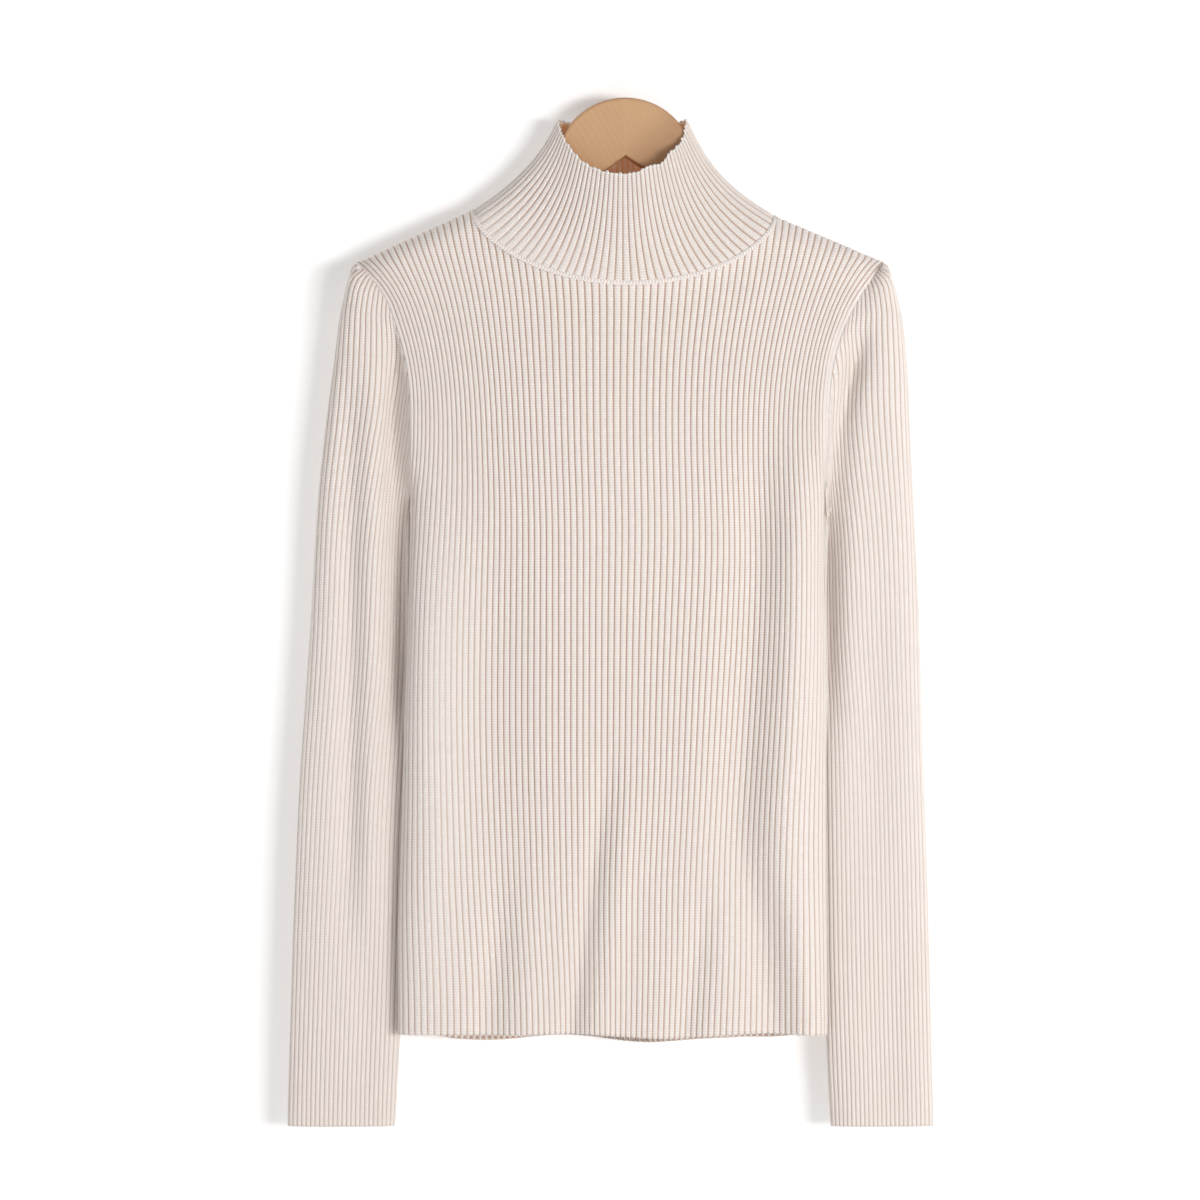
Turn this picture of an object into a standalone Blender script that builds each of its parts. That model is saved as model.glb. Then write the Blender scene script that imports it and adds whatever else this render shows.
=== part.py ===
"""Mock neck sweater in a fine vertical rib, hanging flat on a two-part wooden hanger.

Metres, +Z up, the front of the garment faces -Y. The origin is the crown of the hanger's domed
head. Left and right are as seen from the front. All tables and lengths below are in millimetres.
"""
import bmesh
import bpy
import numpy as np

MM = 0.001

# Cloth wall: a plain inside, an outside of raised ribs.
WALL = 1.6
RIB_RISE = 1.2
SEAM_HALF_GAP = 0.15

# Rib counts.
PANEL_RIBS = 78
SLEEVE_RIBS = 44
COLLAR_FRONT_RIBS = 46
COLLAR_BACK_RIBS = 42

# Main heights, below the hanger's crown.
SHOULDER_Z = -113.9
UNDERARM_Z = -270.0
HEM_Z = -645.0
CUFF_Z = -710.0
NECK_LEFT = (-105.6, -77.6)
NECK_RIGHT = (103.8, -82.1)
SHOULDER_LEFT_X = -184.9
SHOULDER_RIGHT_X = 178.7

# Neck seam: how far it drops and how far it stands off the middle plane.
FRONT_NECK = dict(drop=49.5, stand=26.0, bend=1.24)
BACK_NECK = dict(drop=18.0, stand=22.0, bend=1.1)
NECK_CORNER_STAND = 16.0

# Slopes at the seams, as (sideways, up).
LEFT_SHOULDER_FACES = (-0.41, 0.91)
RIGHT_SHOULDER_FACES = (0.40, 0.92)
NECK_CORNER_FACES = (0.57, 0.82)
NECK_SEAM_TILT = 0.05
SLEEVE_HEAD_TILT = 0.75

# Top edge of the collar.
COLLAR_TOP_Z = -15.5
COLLAR_TOP_CENTRE_X = -1.8
COLLAR_TOP_HALF_WIDTH = 43.9
COLLAR_FRONT_DIP = 39.5
COLLAR_FRONT_STAND = 25.0
COLLAR_BACK_STAND = 22.0
COLLAR_BACK_DIP = 1.0
COLLAR_FLARE = dict(straight=0.5, left=2.4, right=2.9)

# How the tubes turn at the shoulders, armholes and sides.
SHOULDER_ROUNDING = 16.0
ARMHOLE_HALF_DEPTH = 16.5
UNDERARM_REACH = 1.9
SIDE_SQUARENESS = 10
SLEEVE_SQUARENESS = (0.55, 0.8)

# Lengths over which a sleeve leaves its armhole, at the underarm and elsewhere.
UNDERARM_BLEND = 14.0
SLEEVE_HEAD_BLEND = 85.0

# Outer edge of the body at each side: armhole seam, then the side. Columns: z, x.
LEFT_EDGE = np.array([
    (-60.0, -240.0), (-90.0, -209.0), (-113.9, -184.9), (-121.0, -177.9), (-129.7, -170.4),
    (-141.5, -163.2), (-157.3, -157.3), (-173.2, -152.6), (-187.0, -149.4), (-205.0, -147.3),
    (-240.0, -146.8), (-270.0, -147.2), (-318.8, -147.8), (-374.0, -149.2), (-429.0, -151.3),
    (-500.0, -153.3), (-568.0, -155.6), (-645.0, -156.1)])
RIGHT_EDGE = np.array([
    (-60.0, 232.0), (-90.0, 202.5), (-113.9, 178.7), (-120.5, 173.0), (-136.6, 161.5),
    (-150.4, 154.2), (-166.3, 147.6), (-179.4, 143.6), (-200.0, 140.6), (-221.0, 139.3),
    (-252.0, 138.2), (-290.0, 137.0), (-341.0, 136.4), (-374.0, 137.5), (-470.0, 137.5),
    (-553.0, 138.2), (-645.0, 138.9)])

# Body tube. Columns: z, half depth beside the edges, extra fullness of the front, of the back,
# crowding of the ribs toward the sides (negative crowds them to the middle).
BODY = np.array([
    (-60.0, 14.0, 2.0, 1.0, 0.24), (-130.0, 16.0, 5.0, 2.0, 0.24),
    (-200.0, 18.5, 6.5, 3.0, 0.20), (-270.0, 19.0, 6.0, 3.5, 0.14),
    (-360.0, 17.5, 4.0, 3.0, 0.07), (-450.0, 16.5, 2.5, 2.5, 0.02),
    (-560.0, 15.5, 2.0, 2.0, -0.06), (-645.0, 15.0, 2.0, 2.0, -0.12)])

# Sleeve tubes, which hang beside the back half of the body. Columns: z, outer x, inner x,
# half depth, middle y.
LEFT_SLEEVE = np.array([
    (-100.0, -182.0, -150.0, 15.0, 0.0), (-113.9, -184.9, -151.0, 16.0, 0.0),
    (-120.0, -188.3, -151.5, 16.5, 0.0), (-135.0, -192.3, -152.0, 17.0, 0.5),
    (-153.0, -194.8, -152.5, 17.5, 1.0), (-176.6, -196.4, -153.0, 17.5, 2.5),
    (-200.0, -199.3, -153.5, 17.5, 4.0), (-221.5, -202.6, -153.6, 17.0, 5.0),
    (-263.6, -209.2, -153.0, 16.0, 7.0), (-280.0, -210.6, -152.0, 15.5, 8.0),
    (-300.0, -212.6, -149.9, 14.5, 9.5), (-362.0, -216.8, -148.9, 12.0, 11.5),
    (-420.0, -220.9, -150.3, 10.5, 12.0), (-477.0, -225.0, -152.2, 9.5, 12.0),
    (-568.0, -228.8, -155.2, 9.0, 12.0), (-645.0, -231.2, -156.4, 8.5, 12.0),
    (-711.0, -233.0, -160.0, 8.0, 12.0)])
RIGHT_SLEEVE = np.array([
    (-100.0, 176.0, 142.0, 15.0, 0.0), (-114.5, 178.7, 142.5, 16.0, 0.0),
    (-119.0, 181.2, 142.7, 16.5, 0.0), (-126.3, 183.7, 143.0, 17.0, 0.5),
    (-135.0, 186.1, 143.3, 17.0, 0.5), (-153.2, 188.6, 143.8, 17.5, 1.0),
    (-187.7, 191.2, 144.3, 17.5, 3.0), (-221.0, 193.0, 144.4, 17.0, 5.0),
    (-263.6, 195.2, 143.6, 16.0, 7.0), (-280.0, 196.2, 142.2, 15.5, 8.0),
    (-311.9, 198.2, 138.8, 14.0, 10.0), (-352.0, 201.0, 137.4, 12.5, 11.5),
    (-394.7, 202.6, 137.7, 11.0, 12.0), (-449.9, 205.4, 137.9, 10.0, 12.0),
    (-525.8, 208.3, 138.3, 9.2, 12.0), (-608.6, 210.5, 139.0, 8.7, 12.0),
    (-670.7, 211.9, 141.0, 8.2, 12.0), (-711.0, 213.2, 143.4, 8.0, 12.0)])

# Soft folds. Columns: middle x at the top and at the foot, z of the top and of the foot,
# half width, depth into the garment (negative stands out), fade length at each end.
FRONT_FOLDS = np.array([
    (25.0, 17.0, -440.0, -700.0, 15.0, 3.2, 120.0),
    (47.0, 42.0, -480.0, -700.0, 14.0, -1.6, 120.0),
    (-98.0, -90.0, -500.0, -700.0, 16.0, 1.6, 110.0),
    (-120.0, -112.0, -280.0, -660.0, 22.0, -2.2, 90.0),
    (112.0, 124.0, -470.0, -700.0, 15.0, 2.2, 90.0),
    (118.0, 104.0, -215.0, -330.0, 15.0, 2.0, 60.0)])
BACK_FOLDS = np.array([
    (-30.0, -24.0, -430.0, -700.0, 15.0, 2.8, 120.0),
    (66.0, 58.0, -500.0, -700.0, 16.0, 1.6, 110.0),
    (-106.0, -96.0, -470.0, -700.0, 17.0, 1.6, 100.0),
    (108.0, 114.0, -300.0, -660.0, 20.0, -2.0, 90.0),
    (12.0, 16.0, -540.0, -700.0, 15.0, -1.5, 80.0)])
LEFT_SLEEVE_FRONT_FOLDS = np.array([
    (-185.0, -189.0, -230.0, -520.0, 9.0, 5.5, 90.0),
    (-166.0, -168.0, -260.0, -470.0, 9.0, -2.5, 80.0),
    (-181.0, -176.0, -540.0, -690.0, 12.0, 1.6, 60.0)])
LEFT_SLEEVE_BACK_FOLDS = np.array([
    (-180.0, -186.0, -240.0, -500.0, 10.0, 4.0, 90.0),
    (-205.0, -200.0, -420.0, -640.0, 11.0, 2.0, 80.0)])
RIGHT_SLEEVE_FRONT_FOLDS = np.array([
    (153.0, 152.0, -200.0, -420.0, 9.0, 4.0, 90.0),
    (176.0, 172.0, -300.0, -560.0, 14.0, 1.8, 90.0),
    (186.0, 180.0, -560.0, -700.0, 12.0, 1.4, 60.0)])
RIGHT_SLEEVE_BACK_FOLDS = np.array([
    (160.0, 156.0, -220.0, -460.0, 10.0, 4.0, 90.0),
    (182.0, 188.0, -440.0, -640.0, 12.0, 1.8, 80.0)])

# Rows of each grid, as fractions from the top edge to the free edge.
PANEL_ROWS = np.array([
    0.0, 5.0, 12.0, 24.0, 46.0, 82.0, 118.0, 143.0, 156.1, 163.0, 255.0, 385.0, 531.1]) / 531.1
UNDERARM_ROW = 8
SLEEVE_ROWS = np.array([
    0.0, 6.0, 16.0, 36.0, 70.0, 120.0, 200.0, 310.0, 435.0, 560.0]) / 560.0
COLLAR_ROWS = np.array([0.0, 0.3, 0.6, 0.85, 1.0])

# Hanger.
HEAD_RADIUS = 48.3
HANGER_HALF_THICKNESS = 4.5
HANGER_EDGE_EASE = 2.0
NOTCH_Z = -40.7
HANGER_GAP = 0.15

# Upper and lower outline of each hanger arm, from the middle outward. Columns: |x|, z.
LEFT_ARM_TOP = np.array([
    (46.5, -35.2), (50.0, -44.0), (60.0, -54.5), (78.0, -71.8), (94.0, -80.8),
    (106.0, -86.1), (115.0, -89.3), (130.0, -94.8), (165.0, -110.8), (171.0, -115.4),
    (173.0, -121.8)])
LEFT_ARM_FOOT = np.array([
    (0.0, NOTCH_Z), (30.0, -61.5), (60.0, -80.5), (100.0, -99.5), (140.0, -117.0),
    (165.0, -128.0), (171.0, -127.5)])
RIGHT_ARM_TOP = np.array([
    (46.5, -35.2), (50.0, -45.5), (60.0, -57.5), (78.0, -76.0), (92.0, -85.8),
    (104.0, -91.6), (113.0, -94.3), (130.0, -99.5), (160.0, -112.4), (165.5, -116.8),
    (167.5, -122.8)])
RIGHT_ARM_FOOT = np.array([
    (0.0, NOTCH_Z), (30.0, -61.5), (60.0, -81.5), (100.0, -102.0), (140.0, -119.0),
    (160.0, -128.5), (165.5, -128.2)])

# Edges that turn more than this, in radians, are left sharp.
SHARP_ANGLE = 1.3

CREAM = dict(name="cream_rib_knit", colour="#EBE0D8", roughness=0.9)
BEECH = dict(name="pale_beech_wood", colour="#CBA67E", roughness=0.55)


def linear_colour(code):
    """sRGB hex to the linear values that a shader takes."""
    values = [int(code[i:i + 2], 16) / 255 for i in (1, 3, 5)]
    return [v / 12.92 if v <= 0.04045 else ((v + 0.055) / 1.055) ** 2.4 for v in values] + [1.0]


def at_height(table, z, column):
    """Value of one column of a table at heights z. The first column holds falling heights."""
    return np.interp(-np.asarray(z), -table[:, 0], table[:, column])


def smooth_at_height(table, z, column):
    """The same, with the corners of the table rounded over about 24 mm."""
    shifts = (-12.0, -6.0, 0.0, 6.0, 12.0)
    weights = (0.12, 0.22, 0.32, 0.22, 0.12)
    return sum(w * at_height(table, np.asarray(z) + s, column) for s, w in zip(shifts, weights))


def unit(vectors):
    return vectors / np.linalg.norm(vectors, axis=-1, keepdims=True)


def fold_depth(folds, x, z):
    """How far the soft folds push the cloth in at each point."""
    depth = np.zeros(np.broadcast(x, z).shape)
    for x_top, x_foot, z_top, z_foot, half_width, push, fade in folds:
        along = np.clip((z_top - z) / (z_top - z_foot), 0.0, 1.0)
        middle = x_top + (x_foot - x_top) * along
        inside = np.clip((z_top - z) / fade, 0.0, 1.0) * np.clip((z - z_foot) / fade, 0.0, 1.0)
        ends = inside * inside * (3.0 - 2.0 * inside)
        depth = depth + push * ends * np.exp(-(((x - middle) / half_width) ** 2))
    return depth


def neck_angle(x):
    """Angle round the neck seam, 0 at the left shoulder and pi at the right one."""
    middle = 0.5 * (NECK_LEFT[0] + NECK_RIGHT[0])
    half = 0.5 * (NECK_RIGHT[0] - NECK_LEFT[0])
    return np.arccos(np.clip((middle - x) / half, -1.0, 1.0))


def neck_stand(bow, shape):
    """The neck seam leaves the middle plane over the same rounding as the shoulder."""
    down = np.clip(shape["drop"] * bow ** shape["bend"] / SHOULDER_ROUNDING, 0.0, 1.0)
    full = NECK_CORNER_STAND + (shape["stand"] - NECK_CORNER_STAND) * bow
    return full * np.sqrt(1.0 - (1.0 - down) ** 2)


def neck_point(angle, shape, side):
    """Point on the neck seam. side is -1 on the front and 1 on the back."""
    middle = 0.5 * (NECK_LEFT[0] + NECK_RIGHT[0])
    half = 0.5 * (NECK_RIGHT[0] - NECK_LEFT[0])
    x = middle - half * np.cos(angle)
    level = NECK_LEFT[1] + (NECK_RIGHT[1] - NECK_LEFT[1]) * (x - NECK_LEFT[0]) / (2.0 * half)
    bow = np.clip(np.sin(angle), 0.0, 1.0)
    height = level - shape["drop"] * bow ** shape["bend"]
    return np.stack([x, side * neck_stand(bow, shape), height], axis=-1)


def top_edge_height(x, shape):
    """Height of a panel's top edge: shoulder seam, neck seam, shoulder seam."""
    left_share = (NECK_LEFT[0] - x) / (NECK_LEFT[0] - SHOULDER_LEFT_X)
    right_share = (x - NECK_RIGHT[0]) / (SHOULDER_RIGHT_X - NECK_RIGHT[0])
    left = NECK_LEFT[1] + (SHOULDER_Z - NECK_LEFT[1]) * left_share
    right = NECK_RIGHT[1] + (SHOULDER_Z - NECK_RIGHT[1]) * right_share
    neck = neck_point(neck_angle(x), shape, 1)[..., 2]
    return np.where(x < NECK_LEFT[0], left, np.where(x > NECK_RIGHT[0], right, neck))


def armhole_half_depth(z):
    """Distance of the armhole seam from the middle plane."""
    middle = 0.5 * (SHOULDER_Z + UNDERARM_Z)
    share = np.clip(np.abs((z - middle) / (SHOULDER_Z - middle)), 0.0, 1.0)
    return ARMHOLE_HALF_DEPTH * np.sqrt(1.0 - share ** 2.6)


def edge_x(table, z):
    """The armhole's upper part keeps its drawn curve, and the rest of the side is rounded."""
    return np.where(z > -150.0, at_height(table, z, 1), smooth_at_height(table, z, 1))


def rib_shares(ribs, crowding):
    """Places of the rib valleys and crests, 0 to 1, wider in the middle for a positive crowding."""
    even = np.linspace(0.0, 1.0, 2 * ribs + 1)
    return even + crowding / (2.0 * np.pi) * np.sin(2.0 * np.pi * (even - 0.5))


def body_slice(z, shape, folds, side, columns_at):
    """Points of one body panel at height z, at the given shares of its length round."""
    across = np.sin(np.linspace(-0.5, 0.5, 481) * np.pi)
    left = edge_x(LEFT_EDGE, z)
    right = edge_x(RIGHT_EDGE, z)
    reach = UNDERARM_REACH * np.exp(-(((z - UNDERARM_Z) / 5.0) ** 2))
    x = 0.5 * (left + right) + 0.5 * (right - left) * across + reach * across ** 9
    edge = armhole_half_depth(z)
    neck_bow = np.where((x > NECK_LEFT[0]) & (x < NECK_RIGHT[0]), np.sin(neck_angle(x)), 0.0)
    start = neck_stand(np.clip(neck_bow, 0.0, 1.0), shape)
    below = np.clip((top_edge_height(x, shape) - z) / SHOULDER_ROUNDING, 0.0, 1.0)
    fullness = smooth_at_height(BODY, z, 2 if side < 0 else 3)
    middle = smooth_at_height(BODY, z, 1) + fullness * (1.0 - across ** 2)
    middle = middle - fold_depth(folds, x, z)
    middle = start + (middle - start) * np.sqrt(1.0 - (1.0 - below) ** 2)
    y = edge + (middle - edge) * np.sqrt(1.0 - np.abs(across) ** SIDE_SQUARENESS)
    length = np.concatenate([[0.0], np.cumsum(np.hypot(np.diff(x), np.diff(y)))])
    places = columns_at * length[-1]
    return np.interp(places, length, x), side * np.interp(places, length, y)


def hem_height(x, side):
    """The hem waves a little, and hangs lower at the back."""
    wave = 1.1 * np.sin(x / 31.0 + 0.6) + 0.8 * np.sin(x / 17.0)
    inside = np.clip((150.0 - np.abs(x + 9.0)) / 40.0, 0.0, 1.0)
    drop = 0.0 if side < 0 else 4.0
    return HEM_Z - inside * (wave + drop)


def shift_share(z):
    """The ribs that are moved to meet a neck corner come back to their places lower down."""
    return np.clip((z + 190.0) / 70.0, 0.0, 1.0)


def column_tops(table, heights, shape, shifts):
    """Where each rib line, moved sideways by its shift, meets the panel's top edge: x, z."""
    tops = np.zeros((len(shifts), 2))
    for c, shift in enumerate(shifts):
        low, high = -300.0, -60.0
        for _ in range(40):
            z = 0.5 * (low + high)
            x = np.interp(-z, -heights, table[:, c, 0]) + shift * shift_share(z)
            if z < top_edge_height(x, shape):
                low = z
            else:
                high = z
        tops[c] = x, low
    tops[0] = SHOULDER_LEFT_X, SHOULDER_Z
    tops[-1] = SHOULDER_RIGHT_X, SHOULDER_Z
    return tops


def panel_points(shape, folds, side, rows):
    """Outer valley points of a body panel: rows from the top edge down, columns left to right."""
    heights = np.concatenate([np.arange(-60.0, -300.0, -1.5), np.arange(-300.0, -664.0, -6.0)])
    columns = 2 * PANEL_RIBS + 1
    table = np.zeros((len(heights), columns, 2))
    for i, z in enumerate(heights):
        shares = rib_shares(PANEL_RIBS, smooth_at_height(BODY, z, 4))
        table[i, :, 0], table[i, :, 1] = body_slice(z, shape, folds, side, shares)
    tops = column_tops(table, heights, shape, np.zeros(columns))
    corner_columns = []
    for x, _ in (NECK_LEFT, NECK_RIGHT):
        nearest = np.argmin(np.abs(tops[:, 0] - x))
        corner_columns.append(2 * int(round(0.5 * nearest)))
    shifts = np.zeros(columns)
    for corner, column in zip((NECK_LEFT, NECK_RIGHT), corner_columns):
        spread = np.exp(-(((np.arange(columns) - column) / 8.0) ** 2))
        shifts += (corner[0] - tops[column, 0]) * spread
    tops = column_tops(table, heights, shape, shifts)
    for corner, column in zip((NECK_LEFT, NECK_RIGHT), corner_columns):
        tops[column] = corner
    points = np.zeros((len(rows), columns, 3))
    hem_slice = np.argmin(np.abs(heights - HEM_Z))
    for c in range(columns):
        foot = hem_height(table[hem_slice, c, 0], side)
        z = tops[c, 1] + (foot - tops[c, 1]) * rows
        x = np.interp(-z, -heights, table[:, c, 0]) + shifts[c] * shift_share(z)
        y = np.interp(-z, -heights, table[:, c, 1])
        points[:, c] = np.stack([x, y, z], axis=-1)
    points[0, :, 0] = tops[:, 0]
    seam = neck_point(neck_angle(tops[:, 0]), shape, side)
    is_neck = (np.arange(columns) >= corner_columns[0]) & (np.arange(columns) <= corner_columns[1])
    points[0, is_neck] = seam[is_neck]
    points[0, ~is_neck, 1] = 0.0
    return points, corner_columns


def grid_normals(points, wrap, outward):
    """Unit normals of a grid of points, turned to the side that outward gives."""
    if wrap:
        padded = np.concatenate([points[:, -1:], points, points[:, :1]], axis=1)
        across = padded[:, 2:] - padded[:, :-2]
    else:
        across = np.gradient(points, axis=1)
    down = np.gradient(points, axis=0)
    normals = unit(np.cross(across, down))
    flip = np.sign(np.sum(normals * outward(points), axis=-1).mean())
    return normals * flip


def collar_across(angle, tilt):
    """Direction that leaves the collar and enters the panels, across the neck seam."""
    out, up = NECK_CORNER_FACES
    corner = np.cos(angle) ** 2
    sideways = -np.sign(np.cos(angle)) * corner * up
    down = -corner * out - (1.0 - corner)
    return unit(np.stack([sideways, (1.0 - corner) * tilt, down], axis=-1))


def neck_normals(angle, shape, side):
    """Shared outward normals along one half of the neck seam."""
    step = 0.01
    before = neck_point(np.clip(angle - step, 0.0, np.pi), shape, side)
    after = neck_point(np.clip(angle + step, 0.0, np.pi), shape, side)
    normals = np.cross(unit(after - before), collar_across(angle, NECK_SEAM_TILT * side))
    normals = unit(normals)
    outward = np.stack([-np.cos(angle), side * np.sin(angle), 0.6 * np.abs(np.cos(angle))], axis=-1)
    return normals * np.sign(np.sum(normals * outward, axis=-1, keepdims=True))


def corner_normal(direction):
    """Shared outward normal where the shoulder seam meets the neck seam."""
    return np.array([direction * NECK_CORNER_FACES[0], 0.0, NECK_CORNER_FACES[1]])


def armhole_across(z, direction):
    """Direction that leaves the body and enters the sleeve, across the armhole seam."""
    share = np.clip((z - UNDERARM_Z) / (SHOULDER_Z - UNDERARM_Z), 0.0, 1.0)
    tilt = SLEEVE_HEAD_TILT * share ** 2
    return unit(np.stack([np.full_like(z, direction), np.zeros_like(z), -tilt], axis=-1))


def armhole_normals(seam, direction):
    """Outward normals along an armhole loop that runs down the front and up the back."""
    along = np.roll(seam, -1, axis=0) - np.roll(seam, 1, axis=0)
    normals = unit(np.cross(unit(along), armhole_across(seam[:, 2], direction)))
    centre = np.array([seam[:, 0].mean(), 0.0, 0.5 * (SHOULDER_Z + UNDERARM_Z)])
    flip = np.sign(np.sum(normals * (seam - centre), axis=-1, keepdims=True))
    return normals * flip


def armhole_loop(front, back, column):
    """The armhole's corner points: down the front panel's edge, then up the back panel's."""
    down = front[:UNDERARM_ROW + 1, column]
    up = back[UNDERARM_ROW - 1:0:-1, column]
    loop = np.concatenate([down, up])
    loop[0, 1] = 0.0
    loop[UNDERARM_ROW, 1] = 0.0
    return loop


def finish_panel(points, corners, shape, side, left_seam, right_seam):
    """Outer valley points with their seam gaps, wall directions, and the neck seam for the collar."""
    normals = grid_normals(points, False, lambda p: np.array([0.0, side, 0.0]))
    shoulder = {}
    for direction, (out, up) in ((-1, LEFT_SHOULDER_FACES), (1, RIGHT_SHOULDER_FACES)):
        shoulder[direction] = unit(np.array([out, 0.0, up]))
    count = points.shape[1]
    angle = neck_angle(points[0, :, 0])
    for c in range(count):
        if corners[0] < c < corners[1]:
            normals[0, c] = neck_normals(angle[c:c + 1], shape, side)[0]
        else:
            normals[0, c] = shoulder[-1 if c <= corners[0] else 1]
    normals[0, corners[0]] = corner_normal(-1)
    normals[0, corners[1]] = corner_normal(1)
    shifted = points.copy()
    neck = slice(corners[0], corners[1] + 1)
    into = collar_across(angle[neck], NECK_SEAM_TILT * side)
    neck_seam = dict(points=points[0, neck], normals=normals[0, neck], into=into)
    shifted[0, neck] += SEAM_HALF_GAP * into
    sides = ((0, -1.0, left_seam), (count - 1, 1.0, right_seam))
    rows = np.arange(UNDERARM_ROW + 1)
    for column, direction, (seam, seam_dirs) in sides:
        order = rows if side < 0 else np.r_[0, len(seam) - 1:UNDERARM_ROW - 1:-1]
        normals[rows, column] = seam_dirs[order]
        shifted[rows, column] -= SEAM_HALF_GAP * armhole_across(seam[order][:, 2], direction)
        normals[UNDERARM_ROW + 1:, column] = (direction, 0.0, 0.0)
    shifted[:, :, 1] += side * SEAM_HALF_GAP
    return shifted, normals, neck_seam


def sleeve_slice(table, front_folds, back_folds, z, shares):
    """Points of a sleeve's tube at height z. Share 0 is the inner side, 0.25 the front."""
    turn = np.linspace(0.0, 2.0 * np.pi, 721)
    outer = smooth_at_height(table, z, 1) if z < -150.0 else at_height(table, z, 1)
    inner = smooth_at_height(table, z, 2)
    half_depth = smooth_at_height(table, z, 3)
    middle_y = smooth_at_height(table, z, 4)
    reach = np.cos(turn)
    across = np.sign(reach) * np.abs(reach) ** SLEEVE_SQUARENESS[0]
    rise = np.sin(turn)
    depth = half_depth * np.sign(rise) * np.abs(rise) ** SLEEVE_SQUARENESS[1]
    x = 0.5 * (inner + outer) + 0.5 * (inner - outer) * across
    fade = np.sqrt(np.abs(rise))
    front = fold_depth(front_folds, x, z) * fade
    back = fold_depth(back_folds, x, z) * fade
    y = middle_y - depth + np.where(rise > 0.0, front, -back)
    length = np.concatenate([[0.0], np.cumsum(np.hypot(np.diff(x), np.diff(y)))])
    places = shares * length[-1]
    return np.interp(places, length, x), np.interp(places, length, y)


def sleeve_points(loop, table, front_folds, back_folds, rows):
    """Outer valley points of a sleeve. Columns start at the underarm and go up the front."""
    columns = 2 * SLEEVE_RIBS
    turned = np.concatenate([loop[UNDERARM_ROW::-1], loop[:UNDERARM_ROW - 1:-1]])
    lengths = np.concatenate([[0.0], np.cumsum(np.linalg.norm(np.diff(turned, axis=0), axis=1))])
    knots = 2 * np.round(lengths / lengths[-1] * SLEEVE_RIBS).astype(int)
    seam = np.stack([np.interp(np.arange(columns), knots, turned[:, k]) for k in range(3)], axis=-1)
    shares = np.arange(columns) / columns
    heights = np.concatenate([np.arange(-100.0, -300.0, -2.0), np.arange(-300.0, -720.0, -8.0)])
    tube = np.zeros((len(heights), columns, 2))
    for i, z in enumerate(heights):
        tube[i, :, 0], tube[i, :, 1] = sleeve_slice(table, front_folds, back_folds, z, shares)
    points = np.zeros((len(rows), columns, 3))
    for c in range(columns):
        z = seam[c, 2] + (CUFF_Z - seam[c, 2]) * rows
        x = np.interp(-z, -heights, tube[:, c, 0])
        y = np.interp(-z, -heights, tube[:, c, 1])
        from_underarm = np.clip(2.0 * min(c, columns - c) / columns / 0.45, 0.0, 1.0)
        eased = from_underarm ** 2 * (3.0 - 2.0 * from_underarm)
        blend = UNDERARM_BLEND + (SLEEVE_HEAD_BLEND - UNDERARM_BLEND) * eased
        fade = np.clip(1.0 - (seam[c, 2] - z) / blend, 0.0, 1.0) ** 2
        points[:, c, 0] = x + (seam[c, 0] - x[0]) * fade
        points[:, c, 1] = y + (seam[c, 1] - y[0]) * fade
        points[:, c, 2] = z
    return points, seam


def finish_sleeve(points, seam, direction):
    """Wall directions and seam gap of a sleeve."""
    middle = points.mean(axis=1, keepdims=True)
    normals = grid_normals(points, True, lambda p: (p - middle) * np.array([1.0, 1.0, 0.0]))
    normals[0] = armhole_normals(seam, direction)
    shifted = points.copy()
    shifted[0] += SEAM_HALF_GAP * armhole_across(seam[:, 2], direction)
    return shifted, normals


def collar_half(seam, side, ribs, stand, dip, rows):
    """Front or back half of the collar from left to right, its foot on the panel's neck edge."""
    steps = np.linalg.norm(np.diff(seam["points"], axis=0), axis=1)
    lengths = np.concatenate([[0.0], np.cumsum(steps)])
    last = len(lengths) - 1
    at = 2 * np.round(lengths / lengths[-1] * ribs)
    knots = [0] + [k for k in range(1, 6) if at[k] > at[k - 1]]
    knots += [k for k in range(last - 5, last) if at[k] < at[k + 1]] + [last]
    places = np.interp(np.arange(2 * ribs + 1), at[knots], lengths[knots])
    foot, normals, into = (
        np.stack([np.interp(places, lengths, seam[key][:, k]) for k in range(3)], axis=-1)
        for key in ("points", "normals", "into"))
    turn = np.linspace(0.0, np.pi, 2 * ribs + 1)
    top = np.stack([
        COLLAR_TOP_CENTRE_X - COLLAR_TOP_HALF_WIDTH * np.cos(turn),
        side * stand * np.sin(turn),
        COLLAR_TOP_Z - dip * np.sin(turn) ** 1.15], axis=-1)
    t = rows[:, None]
    to_right = 0.5 - 0.5 * np.cos(turn)
    power = COLLAR_FLARE["left"] + (COLLAR_FLARE["right"] - COLLAR_FLARE["left"]) * to_right
    flare = COLLAR_FLARE["straight"] * t + (1.0 - COLLAR_FLARE["straight"]) * t ** power
    points = np.zeros((len(rows), len(turn), 3))
    for axis, share in ((0, flare), (1, flare), (2, t)):
        points[:, :, axis] = top[:, axis] + (foot[:, axis] - top[:, axis]) * share
    return points, unit(normals), unit(into)


def collar_points(front_seam, back_seam, rows):
    """The collar as a closed tube: its valley points and wall directions."""
    front = collar_half(
        front_seam, -1, COLLAR_FRONT_RIBS, COLLAR_FRONT_STAND, COLLAR_FRONT_DIP, rows)
    back = collar_half(
        back_seam, 1, COLLAR_BACK_RIBS, COLLAR_BACK_STAND, COLLAR_BACK_DIP, rows)
    points = np.concatenate([front[0][:, :-1], back[0][:, :0:-1]], axis=1)
    middle = points.mean(axis=1, keepdims=True)
    normals = grid_normals(points, True, lambda p: (p - middle) * np.array([1.0, 1.0, 0.0]))
    normals[-1] = np.concatenate([front[1][:-1], back[1][:0:-1]])
    points[-1] -= SEAM_HALF_GAP * np.concatenate([front[2][:-1], back[2][:0:-1]])
    return points, normals


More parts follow.
